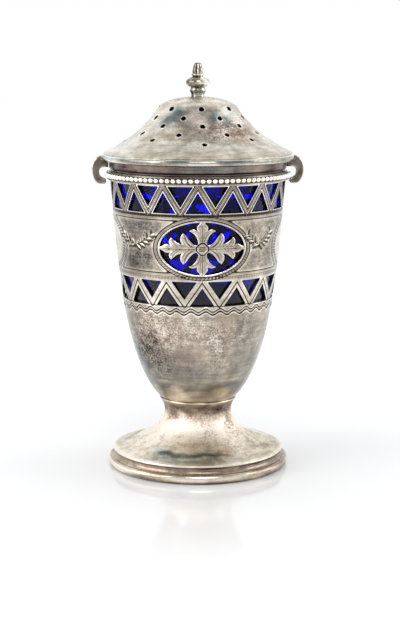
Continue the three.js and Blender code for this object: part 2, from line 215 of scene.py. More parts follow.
def silver_finish(name, film, tint=(1, 1, 1), clouded=0.3, mottled=0.2, frosted=0.42, roughness=0.15):
    """Silver under a film of tarnish of a mean thickness, from 0, bare, to 1, black."""
    material, start = new_material(name)
    place = start.node("ShaderNodeTexCoord", output=3)
    clouds = noise(start, place, 60, detail=4, distortion=0.5).between(0.36, 0.64)
    mottle = noise(start, place, 340, detail=5, roughness=0.65).between(0.34, 0.66)
    grit = noise(start, place, 1900, detail=4, roughness=0.72).between(0.40, 0.60)
    streaks = noise(start, stretched(start, place, (110, 110, 1500)), 1, detail=4).between(0.3, 0.7)
    marks = {label: start.node("ShaderNodeAttribute", output=2, attribute_name=label) for label in MARKS}
    frosting = marks["frosting"]
    line = marks["line"]

    uneven = (clouds - 0.5) * clouded + (mottle - 0.5) * mottled + (streaks - 0.5) * 0.12
    uneven = uneven + frosting * (grit - 0.5) * frosted + frosting * (mottle - 0.5) * 0.16
    # Polish and tarnish thin and thicken the film where the silver was rubbed and where it tarnished, and
    # also where highlights, reflections and shade are painted.
    bare = marks["polish"] + line.between(0.2, 0.5) * 0.12
    thickness = uneven + marks["tarnish"] - bare + film
    stops = [(place_on_ramp, colour(*np.multiply(tone, tint))) for place_on_ramp, tone in FILM_TONES]
    tone = start.node("ShaderNodeValToRGB", {"Fac": thickness}, stops=stops)
    for label, cast in (("bloom", BLOOM), ("blush", BLUSH)):
        patchy = marks[label] * (mottle * 0.7 + 0.5)
        tone = patchy.tinted(tone, colour(*cast))
    # One near-black tone for the black in engraved lines and cuts, and for painted shade: the inside mark
    # darkens the inner faces of the sheets, and the cut mark also darkens gaps by the beads, beside the
    # garland's leaves and under the cover.
    grime_and_shade_tone = colour(*np.multiply(FILM_TONES[-1][1], 0.8))
    tone = (marks["cut"] + line.between(0.58, 0.82)).blend(tone, grime_and_shade_tone)
    tone = (marks["inside"] * 0.80).blend(tone, grime_and_shade_tone)

    rough = thickness * 0.10 + frosting * 0.32 + roughness
    grain = noise(start, place, 2600, detail=2)
    height = grain * 0.25 + streaks * 0.3 + mottle * 0.6 - frosting * grit * 0.8
    bump = start.node("ShaderNodeBump", {"Strength": 0.2, "Distance": 0.12 * MM, "Height": height})
    finish_with(start, {"Base Color": tone, "Metallic": 1.0, "Roughness": rough, "Normal": bump})
    return material


# %% [markdown]
# Each part of the caster has its own film. The beads are rubbed bright, the foot has gone a little
# pink, the finial a little green, and the band under the cover's edge, where fingers rarely polish, is
# nearly brown.

# %% The silvers of this caster
shell_silver = silver_finish("shell_silver", 0.49, clouded=0.14, mottled=0.12, frosted=0.46)
bead_silver = silver_finish("bead_silver", 0.03, clouded=0.10, mottled=0.08)
foot_silver = silver_finish(
    "foot_silver", 0.31, tint=(1.02, 0.965, 0.90), clouded=0.2, mottled=0.16, frosted=0.36, roughness=0.2
)
cover_silver = silver_finish("cover_silver", 0.35, tint=(1.0, 0.99, 0.96), clouded=0.16, mottled=0.18)
hook_silver = silver_finish("hook_silver", 0.80, tint=(1.0, 0.97, 0.93), clouded=0.14, roughness=0.2)
band_silver = silver_finish("band_silver", 0.70, tint=(1.02, 0.94, 0.93), clouded=0.24, mottled=0.1)
finial_silver = silver_finish(
    "finial_silver", 0.50, tint=(0.97, 1.0, 0.96), clouded=0.6, mottled=0.6, roughness=0.10
)
print("silver finishes:", [m.name for m in bpy.data.materials if m.name.endswith("_silver")])

# %% [markdown]
# ## Cobalt glass
# The liner is blown glass, coloured through with cobalt. It looks almost black where nothing bright
# stands behind it, and a deep pure blue where daylight comes through both of its walls. A clear
# refracting surface with a strong blue does both by itself. The glass in the lower windows looks nearly
# black. The wall is the same all the way down, so the finish paints shade there: it darkens the blue
# low down and adds a gloss. A soft bump gives the slight waves of glass blown into a mould.

# %% Glass finish
glass_finish, glass_start = new_material("cobalt_glass")
glass_place = glass_start.node("ShaderNodeTexCoord", output=3)
glass_waves = noise(glass_start, glass_place, 55, detail=2)
glass_seeds = noise(glass_start, glass_place, 420, detail=2).between(0.60, 0.74)
glass_blue = glass_waves.between(0.3, 0.7).blend(colour(0.001, 0.001, 0.84), colour(0.002, 0.001, 0.97))
glass_height = glass_start.node("ShaderNodeSeparateXYZ", {0: glass_place}, output=2)
# Painted shade: the lower part of the glass is darkened, though the glass is the same there.
lower_glass_painted_shade = 1 - (glass_height + glass_waves * 0.006).between(0.054, 0.079)
glass_blue = lower_glass_painted_shade.blend(glass_blue, colour(0.001, 0.001, 0.10))
glass_relief = glass_waves + glass_seeds * 0.08
glass_bump = glass_start.node(
    "ShaderNodeBump", {"Strength": 0.25, "Distance": 0.6 * MM, "Height": glass_relief}
)
finish_with(glass_start, {
    "Base Color": glass_blue,
    "Roughness": glass_seeds * 0.05 + 0.015,
    "IOR": 1.5,
    "Specular Tint": colour(0.25, 0.25, 0.30),
    "Coat Weight": lower_glass_painted_shade * 0.6,
    "Transmission Weight": 1.0,
    "Normal": glass_bump,
})

# %% [markdown]
# ## Profiles
# Nearly everything on the caster was raised or spun round one axis, so its shape is a profile: pairs
# of radius and height in millimetres. The long lines are cubic curves, the same ones that the solid
# model has, only cut finer. A wall is the same curve moved inwards along its normals.


# %% Curves of a profile
def on_curve(controls, steps):
    """Points and unit normals along a cubic curve; the normals point away from the axis or up."""
    share = np.linspace(0, 1, steps + 1)[:, None]
    a, b, c, d = np.array(controls, float)
    points = (
        (1 - share) ** 3 * a
        + 3 * (1 - share) ** 2 * share * b
        + 3 * (1 - share) * share**2 * c
        + share**3 * d
    )
    slope = (
        3 * (1 - share) ** 2 * (b - a) + 6 * (1 - share) * share * (c - b) + 3 * share**2 * (d - c)
    )
    slope /= np.linalg.norm(slope, axis=1)[:, None]
    normals = np.stack([-slope[:, 1], slope[:, 0]], axis=1)
    inward = (normals[:, 0] < -1e-6) | ((np.abs(normals[:, 0]) <= 1e-6) & (normals[:, 1] < 0))
    normals[inward] *= -1
    return points, normals


def moved_in(controls, steps, distance):
    points, normals = on_curve(controls, steps)
    return points - distance * normals


def oval_arc(centre, half, from_slope, to_slope, steps):
    """Points round an oval; the slope counts from straight out, upwards."""
    slopes = np.radians(np.linspace(from_slope, to_slope, steps + 1))
    return np.stack(
        [centre[0] + half[0] * np.cos(slopes), centre[1] + half[1] * np.sin(slopes)], axis=1
    )


def joined(*runs):
    """One profile from several runs of points, without points that repeat."""
    points = np.concatenate([np.atleast_2d(np.array(run, float)) for run in runs])
    apart = np.linalg.norm(np.diff(points, axis=0), axis=1) > 1e-4
    return points[np.concatenate([[True], apart])]


# %% [markdown]
# A plain mesh is filled from arrays, which is quick also for a hundred thousand faces. Turning a
# profile gives rings of quads, and a profile that ends on the axis closes there in a fan. A profile
# that runs the other way round is reversed first, so that its faces always look outwards.


# %% From points to a piece
def mesh_of(name, points, face_groups):
    """A mesh from points in millimetres and arrays that hold one row of corners for each face."""
    mesh = bpy.data.meshes.new(name)
    corners = np.concatenate([np.ravel(group) for group in face_groups])
    sizes = np.concatenate([np.full(len(group), group.shape[1]) for group in face_groups])
    starts = np.concatenate([[0], np.cumsum(sizes)[:-1]])
    mesh.vertices.add(len(points))
    mesh.vertices.foreach_set("co", np.ravel(points * MM))
    mesh.loops.add(len(corners))
    mesh.loops.foreach_set("vertex_index", corners)
    mesh.polygons.add(len(sizes))
    mesh.polygons.foreach_set("loop_start", starts)
    mesh.update(calc_edges=True)
    mesh.validate()
    return mesh


def settle(name, mesh, body, nodes, material, crease=38):
    """Makes the object, smooths it up to its creases, gives it its finish, hangs it on its body and hides the
    solid model's parts that it stands for.
    """
    mesh.shade_smooth()
    mesh.set_sharp_from_angle(angle=np.radians(crease))
    mesh.materials.clear()
    mesh.materials.append(material)
    piece = add_object(name, mesh)
    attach(piece, body)
    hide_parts(*nodes)
    print(f"{name}: {len(mesh.vertices)} points, {len(mesh.polygons)} faces")


def mark(mesh, label, values):
    """Stores one number for each point, which the finishes read."""
    attribute = mesh.attributes.new(label, "FLOAT", "POINT")
    attribute.data.foreach_set("value", values)


def coordinates(mesh):
    """Each point's place in metres."""
    flat = np.zeros(len(mesh.vertices) * 3)
    mesh.vertices.foreach_get("co", flat)
    return flat.reshape(-1, 3)


def worked_out(carrier):
    """The plain mesh that an object's curve or modifier gives; the object itself goes."""
    bpy.context.view_layer.update()
    graph = bpy.context.evaluated_depsgraph_get()
    mesh = bpy.data.meshes.new_from_object(carrier.evaluated_get(graph))
    bpy.data.objects.remove(carrier)
    return mesh


def places_of(mesh):
    """Each point's turn from the front in degrees, distance from the axis and height in mm."""
    x, y, z = coordinates(mesh).T / MM
    return np.degrees(np.arctan2(x, -y)), np.hypot(x, y), z


def rising(value, width):
    """0 below 0, then evenly up to 1 at a width."""
    return np.clip(value / width, 0, 1)


def patches(turn, level, rows):
    """Sums uneven patches; a row has a turn, a level, half the size of each, and an amount."""
    total = np.zeros(np.shape(turn))
    for middle, height, half_turn, half_height, amount in rows:
        across = ((turn - middle + 180) % 360 - 180) / half_turn
        along = (level - height) / half_height
        swings = max(round(200 / half_turn), 1)
        uneven = 0.22 * np.sin(np.radians(swings * (turn - middle)) + middle)
        reach = np.hypot(across + 0.2 * np.sin(3 * along + height), along + uneven)
        total += amount * np.exp(-(reach**3))
    return total


def round_about(turns, radii, heights):
    """Points at angles in degrees from the front towards +X."""
    angles = np.radians(turns)
    return np.stack([radii * np.sin(angles), -radii * np.cos(angles), heights], axis=-1)


def fan_closed(name, points, ends):
    """Rings of quads from points by turn and row, closed on the axis at the heights of both ends."""
    sides, count = points.shape[:2]
    number = np.arange(sides * count).reshape(sides, count)
    beside = np.roll(number, -1, axis=0)
    quads = np.stack([number[:, :-1], beside[:, :-1], beside[:, 1:], number[:, 1:]], axis=-1)
    low_fan = np.stack([np.full(sides, number.size), beside[:, 0], number[:, 0]], axis=-1)
    high_fan = np.stack([np.full(sides, number.size + 1), number[:, -1], beside[:, -1]], axis=-1)
    points = np.concatenate([points.reshape(-1, 3), [[0, 0, end] for end in ends]])
    return mesh_of(name, points, [quads.reshape(-1, 4), low_fan, high_fan])


def turned(name, profile, sides):
    """Turns a profile round the axis; it closes on itself, or on the axis at both of its ends."""
    following = np.roll(profile, -1, axis=0)
    if np.sum(profile[:, 0] * following[:, 1] - following[:, 0] * profile[:, 1]) < 0:
        profile = profile[::-1]
    on_axis = profile[0, 0] == 0 and profile[-1, 0] == 0
    ring = profile[1:-1] if on_axis else profile
    count = len(ring)
    turns = np.arange(sides) * 360 / sides
    points = round_about(turns[:, None], ring[None, :, 0], np.broadcast_to(ring[:, 1], (sides, count)))
    if on_axis:
        return fan_closed(name, points, (profile[0, 1], profile[-1, 1]))
    number = np.arange(sides * count).reshape(sides, count)
    beside = np.roll(number, -1, axis=0)
    quads = np.stack([number, beside, np.roll(beside, -1, axis=1), np.roll(number, -1, axis=1)], axis=-1)
    return mesh_of(name, points.reshape(-1, 3), [quads.reshape(-1, 4)])


# %% [markdown]
# ## Sawn sheet
# The windows were cut with a fine saw through a sheet that was already raised to shape. A boolean cut
# would leave long thin faces that shade badly. Here a rule says, for every place on the sheet, how far
# it is from the nearest window's edge. A fine grid follows the sheet, and each of its cells keeps only
# the part where that distance is positive, so every window gets a clean edge and a wall through the
# sheet. The same distance rounds the edges a little, as filing does.


# %% A wall with windows from a distance rule
def sawn_sheet(name, turns, levels, opening, form, marks):
    """A ring of sheet: form gives its outer and inner points, marks its attributes."""
    turn_grid, level_grid = np.meshgrid(turns, levels)
    distance = opening(turn_grid, level_grid)
    solid = distance > 0
    beside = np.roll(distance, -1, axis=1)
    across = solid != (beside > 0)
    upward = solid[:-1] != solid[1:]
    share_across = np.clip(distance[across] / (distance - beside)[across], 0.03, 0.97)
    share_upward = np.clip(distance[:-1][upward] / (distance[:-1] - distance[1:])[upward], 0.03, 0.97)
    rise = np.diff(level_grid, axis=0)[upward]
    all_turns = np.concatenate([
        turn_grid[solid],
        turn_grid[across] + share_across * (turns[1] - turns[0]),
        turn_grid[:-1][upward],
    ])
    all_levels = np.concatenate([
        level_grid[solid],
        level_grid[across],
        level_grid[:-1][upward] + share_upward * rise,
    ])

    first = 0
    numbers = []
    for here in (solid, across, upward):
        number = np.full(here.shape, -1)
        number[here] = np.arange(first, first + here.sum())
        first += here.sum()
        numbers.append(number)
    corner, on_across, on_upward = numbers
    walk = [
        corner[:-1], on_across[:-1], np.roll(corner, -1, axis=1)[:-1], np.roll(on_upward, -1, axis=1),
        np.roll(corner, -1, axis=1)[1:], on_across[1:], corner[1:], on_upward,
    ]

    faces, rims = [], []
    for case in range(1, 16):
        filled = [bool(case >> bit & 1) for bit in range(4)]
        here = np.logical_and.reduce([(walk[2 * bit] >= 0) == filled[bit] for bit in range(4)])
        if not here.any():
            continue
        kept = []
        for bit in range(4):
            if filled[bit]:
                kept.append(2 * bit)
            if filled[bit] != filled[(bit + 1) % 4]:
                kept.append(2 * bit + 1)
        faces.append(np.stack([walk[item][here] for item in kept], axis=-1))
        for item, after in zip(kept, kept[1:] + kept[:1]):
            if item % 2 and after % 2:
                rims.append(np.stack([walk[item][here], walk[after][here]], axis=-1))
    bottom = np.stack([corner[0], np.roll(corner[0], -1)], axis=-1)
    top = np.stack([np.roll(corner[-1], -1), corner[-1]], axis=-1)
    rims += [bottom, top]

    outer, inner = form(all_turns, all_levels)
    count = len(outer)
    inner_faces = [group[:, ::-1] + count for group in faces]
    walls = [
        np.stack([rim[:, 1], rim[:, 0], rim[:, 0] + count, rim[:, 1] + count], axis=-1) for rim in rims
    ]
    mesh = mesh_of(name, np.concatenate([outer, inner]), faces + inner_faces + walls)
    for label, values in marks(all_turns, all_levels).items():
        mark(mesh, label, np.concatenate([values, np.zeros(count)]))
    # Painted shade: the inner points are marked inside, and the finish darkens the inner face and the walls
    # of the openings towards it.
    mark(mesh, "inside", np.repeat([0.0, 1.0], count))
    return mesh


# %% [markdown]
# ## The shell's windows
# Two zigzag bands run round the shell, each a strap between triangles that point up and down by
# turns. Between them stand four ovals. The front and back ones are cut open round a cross of leaves,
# and the two under the hooks are only drawn. Every rule here gives a distance in millimetres, which is
# cut off at `FAR` where nothing is near.

# %% Measures of the shell
FAR = 9.0
SHELL_WALL = 0.9
SHELL_CURVE = [[28.9, 97.6], [26.3, 72.6], [25.3, 35.9], [12.5, 22.9]]
BOWL_FLOOR = 23.8
UPPER_BAND = {
    "count": 16, "phase": -3.1, "top": 94.6, "bottom": 86.15,
    "down_width": 8.3, "down_point": 88.0, "up_width": 8.0, "up_point": 92.85,
}
LOWER_BAND = {
    "count": 14, "phase": 0.0, "top": 64.6, "bottom": 56.65,
    "down_width": 8.3, "down_point": 58.75, "up_width": 8.0, "up_point": 62.6,
}
MOUTH = SHELL_CURVE[0][1]
MEDALLIONS = (0, 180)
OVAL = (13.35, 8.4)
OVAL_Z = 75.15
SIDE_OVALS = (88, 270)
RING_LINE = (15.15, 10.1)
SIDE_OVAL = (13.3, 10.2)

shell_points, shell_normals = on_curve(SHELL_CURVE, 400)
shell_points, shell_normals = shell_points[::-1], shell_normals[::-1]


def shell_radius(height):
    return np.interp(height, shell_points[:, 1], shell_points[:, 0])


def shell_slope(height):
    """The two parts, outward and upward, of the direction that the shell faces."""
    return [np.interp(height, shell_points[:, 1], part) for part in shell_normals.T]


def triangle_distance(x, z, width, base, point):
    """Millimetres outside a triangular window, which stands on its base or hangs from it."""
    rise = point - base
    half = width / 2
    along = (z - base) * np.sign(rise)
    side = (np.abs(x) * abs(rise) + along * half - half * abs(rise)) / np.hypot(half, rise)
    return np.maximum(side, -along)


def band_distances(turn, z, band):
    """Distances to the nearest window that points up and the nearest that points down."""
    pitch = 360 / band["count"]
    near_up = (turn - band["phase"] + pitch / 2) % pitch - pitch / 2
    near_down = (turn - band["phase"]) % pitch - pitch / 2
    radius = shell_radius(z)
    up = triangle_distance(
        radius * np.sin(np.radians(near_up)), z, band["up_width"], band["bottom"], band["up_point"]
    )
    down = triangle_distance(
        radius * np.sin(np.radians(near_down)), z, band["down_width"], band["top"], band["down_point"]
    )
    return up, down


def oval_distance(x, z, half):
    """Millimetres outside an oval, close to its line."""
    reach = np.sqrt((x / half[0]) ** 2 + (z / half[1]) ** 2) + 1e-9
    steep = np.sqrt((x / half[0] ** 2) ** 2 + (z / half[1] ** 2) ** 2) + 1e-9
    return reach * (reach - 1) / steep


# %% [markdown]
# The cross was left standing when the oval was sawn out. One quarter of its outline is enough: it
# runs from the tip of the side arm over two pairs of curled leaves to the tip of the upper arm, and the
# other quarters mirror it. Each run below is a smooth line between two sharp points.

# %% The cross of leaves
CROSS_QUARTER = [
    [(13.9, 0.40), (12.75, 0.55), (12.05, 1.00), (11.2, 1.35), (10.4, 1.30), (9.8, 1.00)],
    [(9.8, 1.00), (10.35, 1.65), (10.4, 2.50), (9.8, 3.50)],
    [(9.8, 3.50), (8.9, 2.70), (8.1, 2.05), (7.3, 1.65), (6.3, 1.50)],
    [(6.3, 1.50), (6.9, 2.50), (6.8, 3.70), (6.0, 5.00)],
    [(6.0, 5.00), (5.0, 4.00), (4.2, 2.85), (3.3, 1.85), (2.4, 1.25), (1.75, 1.15)],
    [(1.75, 1.15), (1.25, 1.70)],
    [(1.25, 1.70), (1.60, 3.00), (2.15, 4.15), (3.0, 5.00), (4.3, 5.75)],
    [(4.3, 5.75), (3.2, 6.15), (2.3, 6.05), (1.45, 5.60)],
    [(1.45, 5.60), (1.75, 6.40), (1.50, 7.25), (0.85, 7.95), (0.40, 9.30)],
]
LEAF_VEINS = [
    [(0.0, 2.3), (0.0, 7.7)],
    [(0.60, 2.3), (1.15, 4.0), (2.1, 5.0), (3.6, 5.6)],
    [(0.42, 3.4), (0.62, 5.0), (0.55, 6.6)],
    [(2.2, 0.0), (12.1, 0.0)],
    [(2.6, 0.45), (4.2, 1.6), (5.1, 3.1), (5.75, 4.5)],
    [(4.1, 0.35), (5.4, 1.3), (6.2, 2.9)],
    [(3.3, 0.55), (4.7, 1.7), (5.7, 3.5)],
    [(7.9, 0.4), (9.2, 1.1), (9.9, 2.2)],
    [(7.0, 0.35), (8.5, 1.45), (9.45, 3.0)],
    [(10.2, 0.3), (11.4, 0.75)],
]


def smooth_run(points, steps=4):
    """A smooth line through the points, by cubic pieces that pass through each."""
    points = np.array(points, float)
    if len(points) < 3:
        return points
    padded = np.concatenate([[2 * points[0] - points[1]], points, [2 * points[-1] - points[-2]]])
    line = []
    for index in range(len(points) - 1):
        before, start, end, after = padded[index : index + 4]
        for share in np.arange(steps) / steps:
            line.append(
                start
                + 0.5 * share * (end - before)
                + share**2 * (before - 2.5 * start + 2 * end - 0.5 * after)
                + share**3 * (1.5 * (start - end) + 0.5 * (after - before))
            )
    return np.array(line + [points[-1]])


def segments_distance(x, z, starts, ends):
    """Distance to the nearest of many short straight pieces."""
    nearest = np.full(np.shape(x), 99.0)
    for (ax, az), (bx, bz) in zip(starts, ends):
        length = (bx - ax) ** 2 + (bz - az) ** 2 + 1e-12
        share = np.clip(((x - ax) * (bx - ax) + (z - az) * (bz - az)) / length, 0, 1)
        away = np.hypot(x - ax - share * (bx - ax), z - az - share * (bz - az))
        nearest = np.minimum(nearest, away)
    return nearest


def inside_outline(x, z, corners):
    """Distance to a closed outline, positive inside it."""
    after = np.roll(corners, -1, axis=0)
    inside = np.zeros(np.shape(x), bool)
    for (ax, az), (bx, bz) in zip(corners, after):
        if az == bz:
            continue
        crosses = (az > z) != (bz > z)
        inside ^= crosses & (x < (bx - ax) * (z - az) / (bz - az) + ax)
    away = segments_distance(x, z, corners, after)
    return np.where(inside, away, -away)


def four_quarters(quarter):
    """Mirrors one quarter of an outline, from its side tip to its upper tip, into all four."""
    left = quarter[::-1] * [-1, 1]
    upper = np.concatenate([quarter, left])
    return np.concatenate([upper, upper[::-1] * [1, -1]])


cross_outline = four_quarters(np.concatenate([smooth_run(run)[:-1] for run in CROSS_QUARTER]))
vein_starts, vein_ends = [], []
for vein in LEAF_VEINS:
    for mirror in [(1, 1), (-1, 1), (1, -1), (-1, -1)]:
        line = smooth_run(vein) * mirror
        vein_starts += list(line[:-1])
        vein_ends += list(line[1:])
print("outline of the cross:", len(cross_outline), "corners;", len(vein_starts), "vein pieces")


# %% [markdown]
# One rule now joins all the windows of the shell. The distance is measured in the flat plane that
# touches the shell in front of each window, because the saw cut straight through.


# %% Where the shell is cut open
def local_to(turn, z, middle):
    """Millimetres sideways and up from the middle of an oval at an angle."""
    away = np.radians((turn - middle + 180) % 360 - 180)
    x = np.where(np.abs(away) < np.pi / 2, shell_radius(z) * np.sin(away), 99.0)
    return x, z - OVAL_Z


def shell_opening(turn, z):
    distance = np.full(np.shape(z), FAR)
    for band in (UPPER_BAND, LOWER_BAND):
        near = (z > band["bottom"] - 3) & (z < band["top"] + 3)
        up, down = band_distances(turn[near], z[near], band)
        distance[near] = np.minimum(distance[near], np.minimum(up, down))
    for middle in MEDALLIONS:
        x, up = local_to(turn, z, middle)
        near = (np.abs(x) < OVAL[0] + 3) & (np.abs(up) < OVAL[1] + 3)
        border = oval_distance(x[near], up[near], OVAL)
        cross = inside_outline(x[near], up[near], cross_outline)
        distance[near] = np.minimum(distance[near], np.maximum(border, cross))
    return distance


# %% [markdown]
# Between the ovals hang four garlands. Each is drawn once in the flat: a hanging curve with leaves that
# point up towards its ends, in pairs above and below it, and three berries in the middle. The graver
# drew each leaf's outline. Beside one side of each leaf lies a dark stroke, its painted shadow, and the
# same places later serve for the raised leaves and for the thin dark forms of those painted shadows.

# %% One garland in the flat
GARLANDS = {43.0: 5.0, 133.0: 6.2, 227.0: 6.2, 310.0: 6.9}
GARLAND_HALF = 6.2
GARLAND_TOP, GARLAND_LOW = 79.0, 75.5
GARLAND_STEPS = 5
LEAF_LENGTH = 2.6
LEAF_HALF = 0.52
LEAF_LEANS = (44, -40)
BERRIES = [(-1.5, 75.8), (0.0, 75.3), (1.5, 75.8)]
garland_rng = np.random.default_rng(7)


def garland_leaves():
    """Roots and slopes in degrees of one garland's leaves, in millimetres from its middle."""
    leaves = []
    for side in (-1, 1):
        for share in np.linspace(0.06, 0.92, GARLAND_STEPS):
            root_z = GARLAND_LOW + (GARLAND_TOP - GARLAND_LOW) * share**1.6
            slope = np.degrees(np.arctan2(1.6 * (GARLAND_TOP - GARLAND_LOW) * share**0.6, GARLAND_HALF))
            for lean in LEAF_LEANS:
                rise = slope + lean + garland_rng.uniform(-20, 20)
                leaves.append((side * GARLAND_HALF * share, root_z, rise if side > 0 else 180 - rise))
    return np.array(leaves)


garland = garland_leaves()
leaf_angles = np.radians(garland[:, 2])
leaf_ways = np.stack([np.cos(leaf_angles), np.sin(leaf_angles)], axis=1)
leaf_sides = np.stack([-leaf_ways[:, 1], leaf_ways[:, 0]], axis=1) * np.sign(-garland[:, :1])
# Each leaf's painted shadow: a dark stroke along one side of it.
shadow_starts = garland[:, :2] + 0.42 * leaf_sides + 0.2 * leaf_ways
shadow_ends = shadow_starts + 0.62 * LEAF_LENGTH * leaf_ways
print("leaves in a garland:", len(garland))

# %% [markdown]
# ## Engraving
# The graver drew the rest: a line round each panel that runs along the border and bends round the
# oval, short bright ticks beside it, lines along the straps, veins on the leaves, and two wavy lines
# under the lower band. Such lines are thinner than the grid's cells. So the sheet keeps how close each
# point is to the nearest line, a number that changes evenly from cell to cell, and the finish draws a
# thin dark line from it. The same closeness presses a shallow groove into the sheet.

# %% Grooves and heights
PANEL_TOP = 84.05
PANEL_BOTTOM = 67.3
BORDER_LINES = (85.0, 66.3)
WAVES = 33
WAVE_LINES = (54.05, 55.35)
WAVE_RISE = 0.55
BOSS = 1.85


def groove(distance, half_width):
    """1 in the middle of a cut, fading to 0 at its sides."""
    return np.exp(-((distance / half_width) ** 2))


def soft_min(first, second, round_off):
    """The smaller of two distances, with the corner between them rounded."""
    gap = np.clip(0.5 + 0.5 * (second - first) / round_off, 0, 1)
    return second * (1 - gap) + first * gap - round_off * gap * (1 - gap)


def draw_line(sheet, near, distance):
    """Adds an engraved line where the sheet is near it, at a distance from each of its points."""
    sheet["line"][near] = np.minimum(sheet["line"][near], distance)


def wave_heights(turn):
    swing = np.sin(np.radians(turn * WAVES))
    return [line + WAVE_RISE * swing for line in WAVE_LINES]


def panel_distance(turn, z):
    """Distance into the panels between the ovals, which one engraved line runs round."""
    distance = np.minimum(PANEL_TOP - z, z - PANEL_BOTTOM)
    ovals = [(middle, RING_LINE) for middle in MEDALLIONS] + [(middle, SIDE_OVAL) for middle in SIDE_OVALS]
    for middle, half in ovals:
        x, up = local_to(turn, z, middle)
        distance = soft_min(distance, np.clip(oval_distance(x, up, half), -FAR, FAR), 0.9)
    return distance


def engrave_straps(turn, z, sheet):
    """Two pairs of lines along each strap of the upper band, one line along those of the lower band."""
    near = (z > UPPER_BAND["bottom"] - 0.9) & (z < UPPER_BAND["top"] + 0.3)
    up, down = band_distances(turn[near], z[near], UPPER_BAND)
    strap = np.minimum(up, down)
    lines = np.minimum(np.abs(strap - 0.40), np.abs(strap - 0.84) + 0.06)
    draw_line(sheet, near, np.where(strap < 1.5, lines, FAR))
    sheet["polish"][near] += 0.16 * groove(strap, 0.30)
    sheet["tarnish"][near] -= 0.04 * rising(strap - 0.4, 0.3)

    near = (z > LOWER_BAND["bottom"] - 0.6) & (z < LOWER_BAND["top"] + 0.6)
    up, down = band_distances(turn[near], z[near], LOWER_BAND)
    line = np.where((up > 0) & (down > 0), np.abs(up - 0.95), FAR)
    draw_line(sheet, near, line - 0.04)
    sheet["polish"][near] += 0.12


def engrave_borders(turn, z, sheet):
    """The wavy lines, the line round each panel, and the lines and ticks of the borders."""
    lower, upper = wave_heights(turn)
    waves = np.minimum(np.abs(z - upper), np.abs(z - lower - 0.36))
    sheet["line"] = np.minimum(sheet["line"], np.minimum(0.75 * waves, np.abs(z - WAVE_LINES[1] - 1.25)))
    sheet["height"] += 0.18 * groove(z - lower, 0.26) + 0.08 * groove(z - upper - 0.35, 0.25)
    sheet["polish"] += 0.30 * groove(z - lower + 0.1, 0.3) + 0.16 * groove(z - upper - 0.4, 0.25)

    panel = panel_distance(turn, z)
    frieze = (z > PANEL_BOTTOM - 2.6) & (z < PANEL_TOP + 2.1)
    sheet["line"] = np.where(frieze, np.minimum(sheet["line"], np.abs(panel)), sheet["line"])
    sheet["polish"] += 0.14 * frieze * groove(panel - 0.42, 0.22)
    sheet["tarnish"] += 0.10 * frieze * rising(panel - 0.5, 1.0)
    sheet["tarnish"] += 0.02 * frieze * (panel < -0.2)
    sheet["frosting"] += 0.5 * frieze * rising(panel - 0.4, 0.8)
    ticks = np.clip(0.4 + 0.9 * np.cos(np.radians(turn * 150)), 0, 1)
    for level, side in zip(BORDER_LINES, (1, -1)):
        draw_line(sheet, slice(None), np.where(panel < -0.35, np.abs(z - level) + 0.06, FAR))
        sheet["cut"] += 0.7 * ticks * groove(side * (z - level) - 0.5, 0.26)


def engrave_medallion(turn, z, middle, sheet):
    """The ring round an open oval, and the leaves and boss of the cross in it."""
    x, rise = local_to(turn, z, middle)
    near = (np.abs(x) < RING_LINE[0] + 1) & (np.abs(rise) < RING_LINE[1] + 1)
    x, rise = x[near], rise[near]
    border = oval_distance(x, rise, OVAL)
    around = np.arctan2(rise / OVAL[1], x / OVAL[0])
    ticks = np.clip(0.5 + 0.9 * np.cos(around * 80 + border * 2.4), 0, 1)
    fades = 0.60 + 0.40 * np.cos(around + 1.1)
    leaf = inside_outline(x, rise, cross_outline)
    in_leaf = (leaf > 0) & (border < 0)
    veins = segments_distance(x, rise, vein_starts, vein_ends)
    reach = np.maximum(np.maximum(np.abs(x), np.abs(rise)), (np.abs(x) + np.abs(rise)) / 1.3)
    off_boss = reach > BOSS
    socket = np.maximum(np.abs(x) / 0.95, np.abs(rise) / 0.72)

    lines = np.where(in_leaf & off_boss, veins + 0.07, FAR)
    outer = np.minimum(np.abs(border - 0.68), np.abs(oval_distance(x, rise, RING_LINE)) + 0.02)
    rims = np.where(border < 0, np.abs(reach - BOSS) - 0.06, outer)
    draw_line(sheet, near, np.minimum(lines, rims))
    sheet["cut"][near] += ticks * fades * groove(border - 1.2, 0.36)
    sheet["cut"][near] += 0.60 * rising(1.1 - socket, 0.25)
    swell = 0.20 * (1 - np.exp(-np.maximum(leaf, 0) / 0.5)) * in_leaf * off_boss
    sheet["height"][near] += swell + 0.24 * (reach < BOSS) - 0.25 * (socket < 1)
    sheet["height"][near] += 0.10 * groove(border - 0.25, 0.3) * (border > 0)
    sheet["polish"][near] += 0.20 * groove(border - 0.25, 0.3) * (border > 0) + 0.14 * (reach < BOSS)
    sheet["polish"][near] += 0.16 * in_leaf * groove(leaf - 0.3, 0.25)
    sheet["tarnish"][near] += 0.10 * in_leaf * groove(np.hypot(x, rise) - 2.4, 1.2)
    sheet["tarnish"][near] += 0.08 * groove(border - 1.1, 0.45)


def engrave_side_oval(turn, z, middle, sheet):
    """A second line inside the border of a side oval, and a row of bold slanting cuts."""
    x, rise = local_to(turn, z, middle)
    near = (np.abs(x) < SIDE_OVAL[0] + 1) & (np.abs(rise) < SIDE_OVAL[1] + 1)
    x, rise = x[near], rise[near]
    border = oval_distance(x, rise, SIDE_OVAL)
    around = np.arctan2(rise / SIDE_OVAL[1], x / SIDE_OVAL[0])
    dashes = np.clip(2.6 * np.cos(around * 58 + border * 1.4) + 0.3, 0, 1)
    draw_line(sheet, near, np.abs(border + 0.6))
    sheet["cut"][near] += dashes * np.clip(1.5 * groove(border + 1.9, 0.72), 0, 1)
    sheet["polish"][near] += 0.10 * (border < 0) + 0.10 * (border < -2.8)


